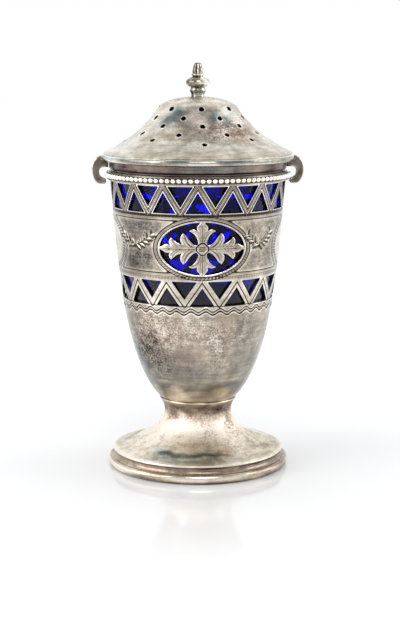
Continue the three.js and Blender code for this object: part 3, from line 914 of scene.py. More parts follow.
def leaf_edges(x, z):
    """Distance to the nearest line that the graver drew round a leaf of the garland."""
    nearest = np.full(np.shape(x), FAR)
    for root, way, side in zip(garland[:, :2], leaf_ways, leaf_sides):
        along = ((x - root[0]) * way[0] + (z - root[1]) * way[1]) / LEAF_LENGTH
        across = np.abs((x - root[0]) * side[0] + (z - root[1]) * side[1])
        beyond = LEAF_LENGTH * np.maximum(np.maximum(-along, along - 1), 0)
        half = LEAF_HALF * np.sin(np.pi * np.clip(along, 0, 1)) ** 0.8
        nearest = np.minimum(nearest, np.hypot(across - half, beyond))
    return nearest


def engrave_garland(turn, z, middle, half, sheet):
    """Lines round the leaves of a garland, painted shadows beside them, and its berries."""
    x, rise = local_to(turn, z, middle)
    near = (np.abs(x) < half + 3) & (z > GARLAND_LOW - 3.5) & (z < GARLAND_TOP + 4)
    x, rise = x[near] * GARLAND_HALF / half, z[near]
    leaf_shadows = segments_distance(x, rise, shadow_starts, shadow_ends)
    leaves = segments_distance(x, rise, garland[:, :2], garland[:, :2] + LEAF_LENGTH * leaf_ways)
    berries = np.min([np.hypot((x - a) / 1.3, rise - b) for a, b in BERRIES], axis=0)
    draw_line(sheet, near, leaf_edges(x, rise) + 0.05)
    # Painted shadows: the dark strokes beside the leaves. The berries are dark dots.
    sheet["cut"][near] += 0.95 * groove(leaf_shadows, 0.36) + 0.95 * groove(berries, 0.62)
    around = groove(np.minimum(leaves, leaf_shadows), 0.8)
    sheet["polish"][near] += 0.20 * around
    sheet["frosting"][near] -= 0.4 * around


# %% [markdown]
# The film on the shell is thicker on its left panel and lower down, thinner on the front of the upper
# bowl, and frosted in patches where it was once cleaned too hard. Each row below is such a place, set
# and then corrected until its tone came near that of the photograph. The back is guessed. The brown
# band just above the waist is a painted reflection, with a painted highlight along its top edge and a
# lighter painted stripe down its front.

# %% Film and frosting of the shell
SHELL_FILM = [
    (-46, 81, 18, 5, 0.28), (-46, 71.5, 17, 5, 0.30), (128, 76, 22, 9, 0.16), (-128, 74, 24, 9, 0.12),
    (-46, 39, 22, 6, 0.24), (-34, 50, 12, 5, 0.02), (-62, 52, 10, 8, 0.08), (-8, 49.5, 20, 4.0, -0.10),
    (12, 44, 7, 4, -0.06), (42, 49, 14, 6, 0.10), (52, 74, 9, 5, 0.10),
    (20, 38, 14, 4, -0.04), (0, 35, 80, 5, 0.03), (-75, 36, 18, 8, 0.08), (140, 44, 40, 10, 0.10),
    (-140, 40, 30, 9, 0.14), (180, 50, 26, 5, -0.12), (0, 56, 70, 1.5, -0.04),
]
SHELL_FROST = [
    (-48, 47, 24, 10, 1.0), (-8, 48, 26, 6, 0.7), (12, 43, 9, 5, 0.6), (38, 48, 20, 7, 0.6),
    (-42, 37, 22, 6, 0.6), (10, 36, 26, 4, 0.4), (165, 50, 40, 7, 0.7), (-120, 48, 30, 8, 0.7),
    (100, 47, 24, 8, 0.6),
]
SHELL_BLOOM = [
    (-74, 37, 16, 8, 1.0), (-82, 60, 14, 24, 0.5), (0, 28, 200, 3.2, 0.35), (52, 42, 24, 9, 0.35),
    (78, 62, 22, 30, 0.45),
    (40, 78, 12, 5, 0.25), (-5, 35, 18, 3, 0.25), (150, 38, 30, 8, 0.5), (-150, 60, 20, 14, 0.3),
]
SHELL_BLUSH = [
    (-14, 46, 26, 6, 0.45), (20, 50, 10, 5, 0.5), (-44, 50, 14, 8, 0.4), (-10, 38, 26, 3, 0.35),
    (0, 28, 60, 3, 0.3), (60, 48, 10, 6, 0.4), (180, 44, 40, 8, 0.4), (43, 80, 8, 4, 0.4),
]
LOW_REFLECTION_TOP = 30.4
LOW_REFLECTION_ROWS = [
    (-38, 28.0, 18, 2.2, 0.18), (26, 29.2, 16, 1.3, 0.20), (-8, 26.5, 18, 2.5, -0.06), (60, 27, 20, 3, 0.1),
]
LOW_PAINTED_HIGHLIGHT = (-15, 5.5)


def shell_film(turn, z):
    """Film, frosting, bloom and blush of the shell, with a painted brown reflection above the waist."""
    # Painted reflection: a brown band up to a wavy edge above the waist, with a painted highlight just above
    # that edge and a lighter painted stripe down its front.
    edge = LOW_REFLECTION_TOP + 0.35 * np.sin(np.radians(3 * turn)) + 0.2 * np.sin(np.radians(11 * turn + 60))
    low = (0.03 + patches(turn, z, LOW_REFLECTION_ROWS)) * rising(edge - z, 0.5)
    low -= 0.12 * groove(z - edge - 0.25, 0.3)
    low -= 0.16 * (z < edge) * groove(turn - LOW_PAINTED_HIGHLIGHT[0], LOW_PAINTED_HIGHLIGHT[1])
    below_waves = rising(WAVE_LINES[0] - z, 0.4)
    return {
        "tarnish": patches(turn, z, SHELL_FILM) + low,
        "frosting": patches(turn, z, SHELL_FROST) * below_waves,
        "bloom": np.clip(patches(turn, z, SHELL_BLOOM), 0, 1),
        "blush": np.clip(patches(turn, z, SHELL_BLUSH), 0, 1),
    }


# %% [markdown]
# All of this is added up on one sheet, place by place. The height in millimetres moves the metal, and
# the other sums become attributes that the finish reads.

# %% All of the engraving
LINE_REACH = 0.6


def engraving(turn, z):
    """What the graver and the years did: height in mm, and the marks that the finish reads."""
    labels = ("height", "cut", "polish", "tarnish", "frosting")
    sheet = {label: np.zeros(np.shape(z)) for label in labels}
    sheet["line"] = np.full(np.shape(z), FAR)
    engrave_straps(turn, z, sheet)
    engrave_borders(turn, z, sheet)
    for middle in MEDALLIONS:
        engrave_medallion(turn, z, middle, sheet)
    for middle in SIDE_OVALS:
        engrave_side_oval(turn, z, middle, sheet)
    for middle, half in GARLANDS.items():
        engrave_garland(turn, z, middle, half, sheet)
    for label, values in shell_film(turn, z).items():
        sheet[label] = sheet.get(label, 0) + values
    height = sheet.pop("height") - 0.10 * groove(sheet["line"], 0.22) - 0.08 * np.clip(sheet["cut"], 0, 1)
    sheet["line"] = np.clip(1 - np.maximum(sheet["line"], 0) / LINE_REACH, 0, 1)
    sheet["cut"] = np.clip(sheet["cut"], 0, 1)
    return height, sheet


# %% [markdown]
# The shell is one sheet, but a single mesh of it would be too heavy. It is made in three rings and a
# bowl that meet at engraved lines or on plain metal, with the same number of columns, so that no seam
# shows.

# %% The shell's rings and bowl
SHELL_COLUMNS = 720
SHELL_ROW = 0.27
RING_ENDS = {
    "shell_mouth_band": (84.55, MOUTH),
    "shell_frieze": (65.15, 84.55),
    "shell_lower_band": (52.0, 65.15),
}
EDGE_ROUND = 0.28
EDGE_DROP = 0.10


def shell_form(turns, levels):
    """Outer and inner points of the sheet, with its engraving and filed edges."""
    radius = shell_radius(levels)
    out, lift = shell_slope(levels)
    distance = shell_opening(turns, levels)
    height = engraving(turns, levels)[0]
    height -= EDGE_DROP * (1 - rising(distance, EDGE_ROUND)) ** 2
    outer = round_about(turns, radius + height * out, np.minimum(levels + height * lift, MOUTH))
    inner = round_about(turns, radius - SHELL_WALL * out, levels - SHELL_WALL * lift)
    return outer, inner


def shell_marks(turns, levels):
    marks = engraving(turns, levels)[1]
    filed = 0.20 * groove(shell_opening(turns, levels), 0.26)
    marks["polish"] = marks["polish"] + filed
    # Painted shade: the shell's top edge, in the gap under the cover, is darkened.
    marks["cut"] = np.maximum(marks["cut"], 0.5 * (levels > MOUTH - 0.25))
    return marks


shell_turns = np.arange(SHELL_COLUMNS) * 360 / SHELL_COLUMNS
for ring_name, (low, high) in RING_ENDS.items():
    rows = np.linspace(low, high, round((high - low) / SHELL_ROW) + 1)
    ring_mesh = sawn_sheet(ring_name, shell_turns, rows, shell_opening, shell_form, shell_marks)
    settle(ring_name, ring_mesh, "stand", ["body_shell"], shell_silver)

bowl_top = RING_ENDS["shell_lower_band"][0]
outside = shell_points[shell_points[:, 1] < bowl_top - 0.05][::6]
inside = (shell_points - SHELL_WALL * shell_normals)[::12]
inside = inside[(inside[:, 1] > BOWL_FLOOR + 0.1) & (inside[:, 1] < bowl_top - 0.1)]
seam_out = [shell_radius(bowl_top), bowl_top]
seam_in = [shell_radius(bowl_top) - SHELL_WALL, bowl_top]
bowl_profile = joined(
    [[0, SHELL_CURVE[3][1]]], outside, [seam_out, seam_in], inside[::-1], [[0, BOWL_FLOOR]]
)
bowl_mesh = turned("shell_bowl", bowl_profile, SHELL_COLUMNS)
turns, radii, heights = places_of(bowl_mesh)
for label, values in shell_film(turns, heights).items():
    mark(bowl_mesh, label, values)
# Painted shade: the bowl's inner face is marked inside, and the finish darkens it.
mark(bowl_mesh, "inside", (radii < shell_radius(heights) - 0.4).astype(float))
settle("shell_bowl", bowl_mesh, "stand", ["body_shell"], shell_silver)

# %% [markdown]
# ## Small forms that repeat
# The beads, the lips of the sifting holes and the leaves of the garlands all repeat one small form.
# Geometry Nodes place them: a tree turns a copy of the form to each point's outward direction and makes
# the copies real.


# %% Helpers for node trees that make geometry
def new_tree(name, sockets):
    """An empty geometry tree with named inputs, and its two ends."""
    tree = bpy.data.node_groups.new(name, "GeometryNodeTree")
    tree.interface.new_socket("Geometry", in_out="INPUT", socket_type="NodeSocketGeometry")
    for label, kind in sockets.items():
        tree.interface.new_socket(label, in_out="INPUT", socket_type=kind)
    tree.interface.new_socket("Geometry", in_out="OUTPUT", socket_type="NodeSocketGeometry")
    inputs = tree.nodes.new("NodeGroupInput")
    given = {socket.name: Signal(tree, socket) for socket in inputs.outputs if socket.name}
    return tree, Signal(tree), given


def end_tree(start, copies, finish):
    """Realize Instances and Set Material, which end every tree here."""
    real = start.node("GeometryNodeRealizeInstances", {"Geometry": copies})
    dressed = start.node("GeometryNodeSetMaterial", {"Geometry": real, "Material": finish})
    start.node("NodeGroupOutput", {0: dressed})


def grown(name, base_mesh, tree, values):
    """Runs a tree on a mesh and gives back its result as a plain mesh."""
    carrier = add_object(name + "_points", base_mesh)
    modifier = carrier.modifiers.new("grow", "NODES")
    modifier.node_group = tree
    for item in tree.interface.items_tree:
        if item.item_type == "SOCKET" and item.in_out == "INPUT" and item.name in values:
            modifier[item.identifier] = values[item.name]
    carrier.update_tag()
    mesh = worked_out(carrier)
    mesh.name = name
    return mesh


def points_mesh(name, places, outward, along):
    """Bare points in millimetres with the directions that a form on them takes."""
    mesh = bpy.data.meshes.new(name)
    mesh.vertices.add(len(places))
    mesh.vertices.foreach_set("co", np.ravel(np.array(places) * MM))
    for label, vectors in (("outward", outward), ("along", along)):
        attribute = mesh.attributes.new(label, "FLOAT_VECTOR", "POINT")
        attribute.data.foreach_set("vector", np.ravel(np.array(vectors)))
    return mesh


def facing(start):
    """The turn that puts Z along a point's outward direction and X along its second one."""
    outward, along = [
        start.node("GeometryNodeInputNamedAttribute", {"Name": label}, data_type="FLOAT_VECTOR")
        for label in ("outward", "along")
    ]
    align = "FunctionNodeAlignRotationToVector"
    upright = start.node(align, {"Vector": outward}, axis="Z")
    return start.node(align, {"Rotation": upright, "Vector": along}, axis="X", pivot_axis="Z")


# %% [markdown]
# ## Beaded rim
# A strip was soldered round the mouth and carries a hundred round beads in a row, less three on each
# side where the hooks pass. The strip is a turned ring with a shallow bed. The beads are copies on the
# points of a circle, and a test on each point's number leaves the gaps.

# %% Rim strip and beads
RIM_BOTTOM, RIM_TOP = 94.9, 97.4
RIM_BACK = 28.95
RIM_LIP = 29.45
BEADS = 100
GAP_BEADS = 3
BEAD_RING = 29.62
BEAD_Z = 96.45
BEAD_RADIUS = 0.86

strip_profile = np.array([
    [RIM_BACK, RIM_BOTTOM], [RIM_LIP - 0.12, RIM_BOTTOM], [RIM_LIP, RIM_BOTTOM + 0.12],
    [RIM_LIP + 0.03, RIM_BOTTOM + 0.45], [RIM_LIP - 0.14, RIM_BOTTOM + 0.62],
    [RIM_LIP - 0.16, BEAD_Z], [RIM_LIP - 0.10, RIM_TOP - 0.22],
    [RIM_LIP - 0.14, RIM_TOP - 0.05], [RIM_LIP - 0.24, RIM_TOP], [RIM_BACK, RIM_TOP],
])
strip_mesh = turned("rim_strip", strip_profile, 240)
heights = places_of(strip_mesh)[2]
# Painted shade: the strip's bed between and behind the beads is darkened.
mark(strip_mesh, "cut", 0.85 * ((heights > 95.5) & (heights < 97.3)))
settle("rim_strip", strip_mesh, "stand", ["bead_rim"], shell_silver)

bead_tree, bead_start, bead_given = new_tree("beads_on_a_ring", {
    "Beads": "NodeSocketInt", "Left off": "NodeSocketInt", "Ring radius": "NodeSocketFloat",
    "Height": "NodeSocketFloat", "Bead radius": "NodeSocketFloat", "Finish": "NodeSocketMaterial",
})
bead_circle = bead_start.node(
    "GeometryNodeMeshCircle", {"Vertices": bead_given["Beads"], "Radius": bead_given["Ring radius"]}
)
bead_lift = bead_start.node("ShaderNodeCombineXYZ", {"Z": bead_given["Height"]})
bead_places = bead_start.node("GeometryNodeSetPosition", {"Geometry": bead_circle, "Offset": bead_lift})
bead_number = bead_start.node("GeometryNodeInputIndex") + (bead_given["Left off"] - 1) * 0.5
bead_in_half = bead_start.math("MODULO", bead_number, bead_given["Beads"] * 0.5)
bead_stays = bead_start.math("GREATER_THAN", bead_in_half, bead_given["Left off"] - 0.5)
bead_form = bead_start.node(
    "GeometryNodeMeshUVSphere", {"Segments": 12, "Rings": 8, "Radius": bead_given["Bead radius"]}
)
bead_copies = bead_start.node(
    "GeometryNodeInstanceOnPoints",
    {"Points": bead_places, "Selection": bead_stays, "Instance": bead_form},
)
end_tree(bead_start, bead_copies, bead_given["Finish"])
beads_mesh = grown("rim_beads", bpy.data.meshes.new("ring"), bead_tree, {
    "Beads": BEADS, "Left off": GAP_BEADS, "Ring radius": BEAD_RING * MM, "Height": BEAD_Z * MM,
    "Bead radius": BEAD_RADIUS * MM, "Finish": bead_silver,
})
settle("rim_beads", beads_mesh, "stand", ["bead_rim"], bead_silver, crease=80)

# %% [markdown]
# ## Waist and foot
# A half-round wire hides the joint between the bowl and its trumpet foot. The trumpet was raised from
# sheet and runs out to a thin plate, whose turned edge lies on a hollow ring. All three are turned.

# %% Waist wire, trumpet and foot ring
FOOT_WALL = 0.9
STEM_CURVE = [[12.3, 22.0], [11.2, 20.2], [11.0, 19.2], [11.0, 18.0]]
FLARE_CURVE = [[11.0, 18.0], [11.0, 13.4], [16.5, 9.2], [28.1, 5.9]]
FLARE_MIDDLE = 13.2
PLATE_EDGE = 5.1
TURNED_SIDES = 192

wire_round = oval_arc((12.25, 22.42), (0.42, 0.36), -88, 88, 12)
wire_mesh = turned("waist_wire_round", joined([[10.9, 22.05]], wire_round, [[10.9, 22.79]]), 160)
settle("waist_wire_round", wire_mesh, "stand", ["waist_wire"], foot_silver)

stem = on_curve(STEM_CURVE, 12)[0]
flare = on_curve(FLARE_CURVE, 56)[0]
stem_inside = moved_in(STEM_CURVE, 8, FOOT_WALL)
stem_inside[0, 1] = STEM_CURVE[0][1]
flare_inside = moved_in(FLARE_CURVE, 40, FOOT_WALL)
flare_inside = flare_inside[flare_inside[:, 1] > PLATE_EDGE + 0.05]
plate_edge = oval_arc((27.75, 5.5), (0.4, 0.4), 78, -78, 10)
trumpet_profile = joined(
    stem, flare[:-1], plate_edge, [[27.2, PLATE_EDGE]], flare_inside[::-1], stem_inside[::-1]
)
trumpet_mesh = turned("foot_trumpet", trumpet_profile, TURNED_SIDES)
turns, radii, heights = places_of(trumpet_mesh)
on_flare = groove(heights - FLARE_MIDDLE, 3.6)
plate = rising(radii - 17.5, 1.5)
spots = patches(turns, heights, [
    (-30, 21.0, 18, 1.5, 0.34), (2, 21.2, 14, 0.9, 0.30), (36, 20.2, 15, 2.0, 0.34), (14, 18.6, 9, 0.9, 0.16),
    (-52, 18.0, 16, 2.4, 0.30), (54, 14.6, 12, 3.0, 0.30), (-18, 18.7, 8, 0.8, 0.14), (130, 18, 25, 4, 0.3),
    (200, 21, 40, 1.4, 0.4),
])
# Painted reflection: the dark ragged blots on the plate, with the blue bloom on them, stand for the stem and
# bowl reflected in the plate.
ragged = 1.2 * np.sin(np.radians(turns * 9)) + 0.7 * np.sin(np.radians(turns * 23 + 40))
plate_reflection_blots = patches(turns, radii + ragged * 0.35, [
    (-29, 22.6, 10, 1.2, 0.50), (-6, 22.2, 13, 0.9, 0.48), (13, 22.8, 8, 1.2, 0.44),
    (-16, 23.6, 6, 0.8, 0.24), (-8, 25.2, 26, 1.0, 0.10), (0, 23.9, 30, 0.7, -0.16),
    (-4, 19.6, 26, 1.2, -0.06), (150, 21, 20, 2.5, 0.35), (-110, 22, 18, 2.0, 0.25),
    (66, 22, 10, 2.5, 0.14), (-62, 23, 18, 3.0, 0.02), (40, 22, 12, 2.4, -0.08),
])
# Painted highlights: a thinner film brightens the flare, and a bright line runs along the plate's turned
# edge.
mark(trumpet_mesh, "tarnish", spots + plate_reflection_blots - 0.36 * on_flare + 0.30 * groove(heights - 20.2, 2.3))
mark(trumpet_mesh, "frosting", np.clip(1.1 * on_flare + 0.6 * groove(heights - 19, 3) + 0.3 * plate, 0, 1))
mark(trumpet_mesh, "polish", 0.24 * groove(radii - 27.8, 0.6) + 0.06 * plate)
mark(trumpet_mesh, "bloom", patches(turns, radii, [
    (-26, 22.8, 16, 1.8, 1.2), (0, 22.4, 18, 1.4, 1.0), (-6, 25.2, 28, 1.6, 0.8),
]))
mark(trumpet_mesh, "blush", patches(turns, radii, [(0, 11.2, 200, 0.7, 0.4), (24, 21, 9, 2.5, 0.7)]))
settle("foot_trumpet", trumpet_mesh, "stand", ["foot_spool"], foot_silver)

foot_round = oval_arc((28.6, 1.55), (1.15, 1.55), -88, 108, 28)
cove = on_curve([[28.2, 3.05], [27.75, 3.3], [27.45, 3.8], [27.5, 4.7]], 10)[0]
ring_profile = joined(
    [[26.4, 0.0], [28.5, 0.0]], foot_round, cove, [[27.5, PLATE_EDGE], [26.4, PLATE_EDGE]]
)
ring_mesh = turned("foot_ring", ring_profile, TURNED_SIDES)
turns, radii, heights = places_of(ring_mesh)
# Painted light on the ring: its dark and light patches are painted reflections; the dark lines in the crease
# above the roll, where it meets the table and under the plate's edge are painted shade; the cove gets painted
# shade tinted pink; and a bright line along the roll is a painted highlight.
in_cove = rising(heights - 3.0, 0.4)
ring_painted_reflections = patches(turns, heights, [
    (-34, 1.6, 14, 1.2, 0.55), (-60, 2.0, 10, 1.0, -0.2), (8, 0.4, 30, 0.6, 0.3), (44, 1.8, 14, 1.1, 0.45),
    (-2, 2.0, 16, 0.8, -0.12), (22, 1.2, 8, 0.8, 0.22), (68, 1.6, 10, 1.0, 0.3),
    (120, 1.5, 24, 1.2, 0.3), (-130, 1.5, 30, 1.2, 0.3), (190, 1.8, 24, 1.2, 0.35),
])
lines = 0.20 * groove(heights - 2.85, 0.3) + 0.28 * groove(heights - 0.35, 0.4)
mark(ring_mesh, "tarnish", ring_painted_reflections + lines + 0.30 * in_cove + 0.45 * groove(heights - PLATE_EDGE, 0.5))
mark(ring_mesh, "blush", 0.4 * in_cove)
mark(ring_mesh, "polish", 0.26 * groove(heights - 1.9, 0.6))
settle("foot_ring", ring_mesh, "stand", ["foot_rim"], foot_silver)

# %% [markdown]
# ## Glass liner
# The liner is a thick tumbler that stands a little clear of the silver. It tapers with the shell, its
# foot corner is rounded and its rim was polished flat.

# %% Liner
LINER_GAP = 0.25
LINER_WALL = 1.8
LINER_TOP = 97.2
LINER_BASE = 30.0
LINER_FLOOR = 33.4
LINER_STRAIGHT = (33.2, 36.6)
LIP_ROUND = 0.35

liner_out = moved_in(SHELL_CURVE, 120, SHELL_WALL + LINER_GAP)[::-1]
liner_in = moved_in(SHELL_CURVE, 120, SHELL_WALL + LINER_GAP + LINER_WALL)[::-1]
liner_out = liner_out[(liner_out[:, 1] > LINER_STRAIGHT[0]) & (liner_out[:, 1] < LINER_TOP - LIP_ROUND)]
liner_in = liner_in[(liner_in[:, 1] > LINER_STRAIGHT[1]) & (liner_in[:, 1] < LINER_TOP - LIP_ROUND)]
corner_out = on_curve([
    [liner_out[0, 0] - 5.6, LINER_BASE], [liner_out[0, 0] - 2.8, LINER_BASE],
    [liner_out[0, 0] - 1.2, LINER_BASE + 1.0], list(liner_out[0]),
], 10)[0]
corner_in = on_curve([
    list(liner_in[0]), [liner_in[0, 0] - 0.9, LINER_FLOOR + 1.4],
    [liner_in[0, 0] - 2.2, LINER_FLOOR], [liner_in[0, 0] - 4.6, LINER_FLOOR],
], 10)[0]
lip_out = [liner_out[-1, 0] + 0.03 - LIP_ROUND, LINER_TOP]
lip_in = [liner_in[-1, 0] + 0.03 + LIP_ROUND, LINER_TOP]
liner_profile = joined(
    [[0, LINER_BASE]], corner_out, liner_out, [lip_out, lip_in], liner_in[::-1], corner_in,
    [[0, LINER_FLOOR]],
)
liner_mesh = turned("liner_glass", liner_profile, 180)
settle("liner_glass", liner_mesh, "liner", ["glass_liner"], glass_finish, crease=50)

# %% [markdown]
# ## Cover
# The cover's dome is raised sheet, drilled with five rings of eight sifting holes. Those of the lowest
# ring stand a little lower and higher by turns. The same sawn sheet makes it, with drilled holes in the
# place of windows. A fine grid is needed only where the holes are.

# %% Dome with its sifting holes
COVER_WALL = 0.8
CROWN_CURVE = [[0, 121.25], [6.2, 121.25], [11.4, 119.8], [12.8, 117.8]]
SKIRT_CURVE = [[12.8, 117.8], [19.1, 108.7], [23.5, 107.4], [30.7, 103.3]]
SIFTER_RINGS = [12.9, 15.0, 17.1, 19.8, 22.9]
LAST_RING_ZIGZAG = 0.8
HOLES_PER_RING = 8
SIFTER_PHASE = 1.9
HOLE_RADIUS = 0.85
PEG_BORE = 1.0

crown, crown_normals = on_curve(CROWN_CURVE, 120)
skirt, skirt_normals = on_curve(SKIRT_CURVE, 200)
dome_points = np.concatenate([crown, skirt[1:]])[::-1]
dome_normals = np.concatenate([crown_normals, skirt_normals[1:]])[::-1]
dome_arc = np.concatenate([[0], np.cumsum(np.linalg.norm(np.diff(dome_points, axis=0), axis=1))])


def on_dome(level):
    """Radius, height and outward direction at an arc length up from the skirt's edge."""
    columns = (dome_points[:, 0], dome_points[:, 1], dome_normals[:, 0], dome_normals[:, 1])
    return [np.interp(level, dome_arc, column) for column in columns]


def arc_at_radius(radius):
    return float(np.interp(-radius, -dome_points[:, 0], dome_arc))


hole_places, hole_outward = [], []
for ring, ring_radius in enumerate(SIFTER_RINGS):
    zigzag = LAST_RING_ZIGZAG if ring_radius == SIFTER_RINGS[-1] else 0
    for hole in range(HOLES_PER_RING):
        swing = -zigzag if hole % 2 else zigzag
        radius, height, out, lift = on_dome(arc_at_radius(ring_radius + swing))
        hole_turn = SIFTER_PHASE + (hole + (ring % 2) / 2) * 360 / HOLES_PER_RING
        hole_places.append(round_about(hole_turn, radius, height))
        hole_outward.append(round_about(hole_turn, out, lift))
hole_places, hole_outward = np.array(hole_places), np.array(hole_outward)


def dome_opening(turns, levels):
    radius, height = on_dome(levels)[:2]
    places = round_about(turns, radius, height)
    distance = np.full(np.shape(turns), FAR)
    for middle in hole_places:
        distance = np.minimum(distance, np.linalg.norm(places - middle, axis=-1) - HOLE_RADIUS)
    return distance


def dome_form(turns, levels):
    radius, height, out, lift = on_dome(levels)
    drop = 0.06 * (1 - rising(dome_opening(turns, levels), 0.3)) ** 2
    outer = round_about(turns, radius - drop * out, height - drop * lift)
    inner = round_about(turns, np.maximum(radius - COVER_WALL * out, 0.9), height - COVER_WALL * lift)
    return outer, inner


# Tarnish on the dome, and painted light: the dark blue-grey patches high on the dome, with their bloom, are
# painted reflections, and the white streaks beside the right-hand holes and the bright left and right sides
# of the skirt are painted highlights.
DOME_FILM_AND_REFLECTIONS = [
    (-30, 14.6, 11, 1.5, 0.26), (18, 14.9, 8, 0.8, 0.20), (-43, 16.2, 6, 1.3, 0.24), (30, 16.2, 5, 1.4, 0.18),
    (-4, 15.3, 11, 2.2, -0.27), (-4, 18.8, 24, 1.8, 0.11), (34, 18.5, 14, 2.6, 0.17),
    (2, 21.0, 24, 2.6, 0.13), (56, 20, 10, 3.5, 0.12),
    (-64, 18, 18, 6.0, -0.22), (-75, 27, 28, 4.0, -0.26), (72, 26, 22, 5.0, -0.14),
    (38, 13.4, 7, 0.9, -0.30), (52, 15.2, 6, 1.5, -0.26), (-34, 20, 8, 3.0, -0.03), (0, 29, 60, 1.6, -0.05),
    (0, 8.5, 90, 3.0, -0.21), (-20, 9.8, 14, 1.0, 0.12), (-16, 12.6, 14, 0.7, -0.12),
    (150, 17, 22, 4.0, 0.28),
    (-150, 20, 26, 5.0, 0.22), (180, 9, 60, 4.0, -0.12), (110, 24, 20, 4.0, 0.10),
]
DOME_FROST = [
    (34, 18.5, 24, 4.0, 0.9), (-2, 16, 14, 3, 0.5), (0, 21, 50, 5, 0.4), (0, 6, 400, 5, 0.9),
    (180, 20, 70, 5, 0.4),
]
DOME_BLOOM_AND_REFLECTIONS = [
    (-30, 14.7, 14, 2.0, 1.3), (20, 14.8, 10, 1.4, 1.3), (-43, 16.4, 9, 1.8, 1.2), (0, 25, 30, 3, 0.3),
    (32, 16.4, 7, 1.8, 0.8), (44, 13.4, 10, 1.4, 0.5), (150, 16, 24, 4, 0.8), (-140, 20, 24, 4, 0.5),
]
DOME_BLUSH = [
    (-3, 15.5, 7, 2.4, 0.5), (36, 19.5, 18, 3.6, 0.95), (12, 18.0, 12, 2.0, 0.5), (-34, 18, 8, 3, 0.3),
    (190, 22, 30, 4, 0.7),
]


def dome_marks(turns, levels):
    radius = on_dome(levels)[0]
    distance = dome_opening(turns, levels)
    return {
        "polish": 0.25 * groove(distance - 0.2, 0.3),
        "cut": 0.9 * (distance < 0.02),
        "tarnish": patches(turns, radius, DOME_FILM_AND_REFLECTIONS),
        "frosting": patches(turns, radius, DOME_FROST),
        "bloom": np.clip(patches(turns, radius, DOME_BLOOM_AND_REFLECTIONS), 0, 1.3),
        "blush": np.clip(patches(turns, radius, DOME_BLUSH), 0, 1),
    }


holes_low = arc_at_radius(SIFTER_RINGS[-1] + LAST_RING_ZIGZAG + 1.4)
holes_high = arc_at_radius(SIFTER_RINGS[0] - 1.4)
bore_arc = arc_at_radius(PEG_BORE)
dome_rows = np.concatenate([
    np.linspace(0, holes_low, 12)[:-1],
    np.linspace(holes_low, holes_high, 56),
    np.linspace(holes_high, bore_arc, 22)[1:],
])
dome_turns = np.arange(480) * 360 / 480
dome_mesh = sawn_sheet("dome_sifter", dome_turns, dome_rows, dome_opening, dome_form, dome_marks)
settle("dome_sifter", dome_mesh, "cover", ["cover_dome"], cover_silver)

# %% [markdown]
# The drill pushed up a small burr round every hole, and polishing left it as a bright lip. One ring
# of round wire, copied to the forty holes, gives each its rim and hides the small steps of the grid.

# %% Lips of the sifting holes
lip_tree, lip_start, lip_given = new_tree("lips_round_holes", {
    "Hole radius": "NodeSocketFloat", "Lip radius": "NodeSocketFloat", "Finish": "NodeSocketMaterial",
})
lip_ring, lip_wire = [
    lip_start.node("GeometryNodeCurvePrimitiveCircle", {"Resolution": steps, "Radius": lip_given[label]})
    for steps, label in ((24, "Hole radius"), (8, "Lip radius"))
]
lip_form = lip_start.node("GeometryNodeCurveToMesh", {"Curve": lip_ring, "Profile Curve": lip_wire})
lip_copies = lip_start.node(
    "GeometryNodeInstanceOnPoints",
    {"Points": lip_given["Geometry"], "Instance": lip_form, "Rotation": facing(lip_start)},
)
end_tree(lip_start, lip_copies, lip_given["Finish"])
lip_along = np.cross(hole_outward, [0, 0, 1])
lips_mesh = grown(
    "dome_hole_lips",
    points_mesh("hole_points", hole_places - 0.06 * hole_outward, hole_outward, lip_along),
    lip_tree,
    {"Hole radius": (HOLE_RADIUS + 0.1) * MM, "Lip radius": 0.13 * MM, "Finish": cover_silver},
)
settle("dome_hole_lips", lips_mesh, "cover", ["cover_dome"], cover_silver, crease=80)

# %% [markdown]
# The dome ends in a moulding that stands out over the plain band, and a locating ring hangs inside.
# All three are turned rings.

# %% Moulding, band and locating ring
BAND_OUT, BAND_IN = 28.8, 28.2
BAND_TOP, BAND_BOTTOM = 101.0, 98.4

roll = oval_arc((30.12, 102.0), (1.17, 1.12), 78, -72, 24)
moulding_profile = joined(
    [[BAND_IN, 100.75], [28.95, 100.75], [29.1, 100.92], [30.3, 100.92]], roll[::-1],
    [[30.36, 103.16], [30.7, 103.27], [BAND_IN, 103.27]],
)
moulding_mesh = turned("dome_moulding", moulding_profile, 240)
turns, radii, heights = places_of(moulding_mesh)
# Painted light on the moulding: its dark and light patches are painted reflections, the bright line along its
# top is a painted highlight, and the dark line at its foot is painted shade.
mark(moulding_mesh, "tarnish", patches(turns, heights, [
    (-66, 102, 8, 2.0, -0.2), (-40, 102.1, 11, 0.8, 0.40), (-22, 101.7, 8, 0.6, 0.18),
    (-4, 102.5, 12, 0.35, 0.30), (14, 102.1, 8, 0.8, 0.30), (42, 102.2, 18, 0.7, 0.26),
    (140, 102, 30, 0.8, 0.35), (-140, 102, 26, 0.8, 0.3), (0, 101.0, 400, 0.25, 0.3),
]))
mark(moulding_mesh, "bloom", patches(turns, heights, [(0, 102.2, 400, 0.9, 0.7)]))
mark(moulding_mesh, "polish", 0.60 * groove(heights - 103.05, 0.3) + 0.14 * groove(heights - 101.3, 0.2))
settle("dome_moulding", moulding_mesh, "cover", ["cover_moulding"], cover_silver)

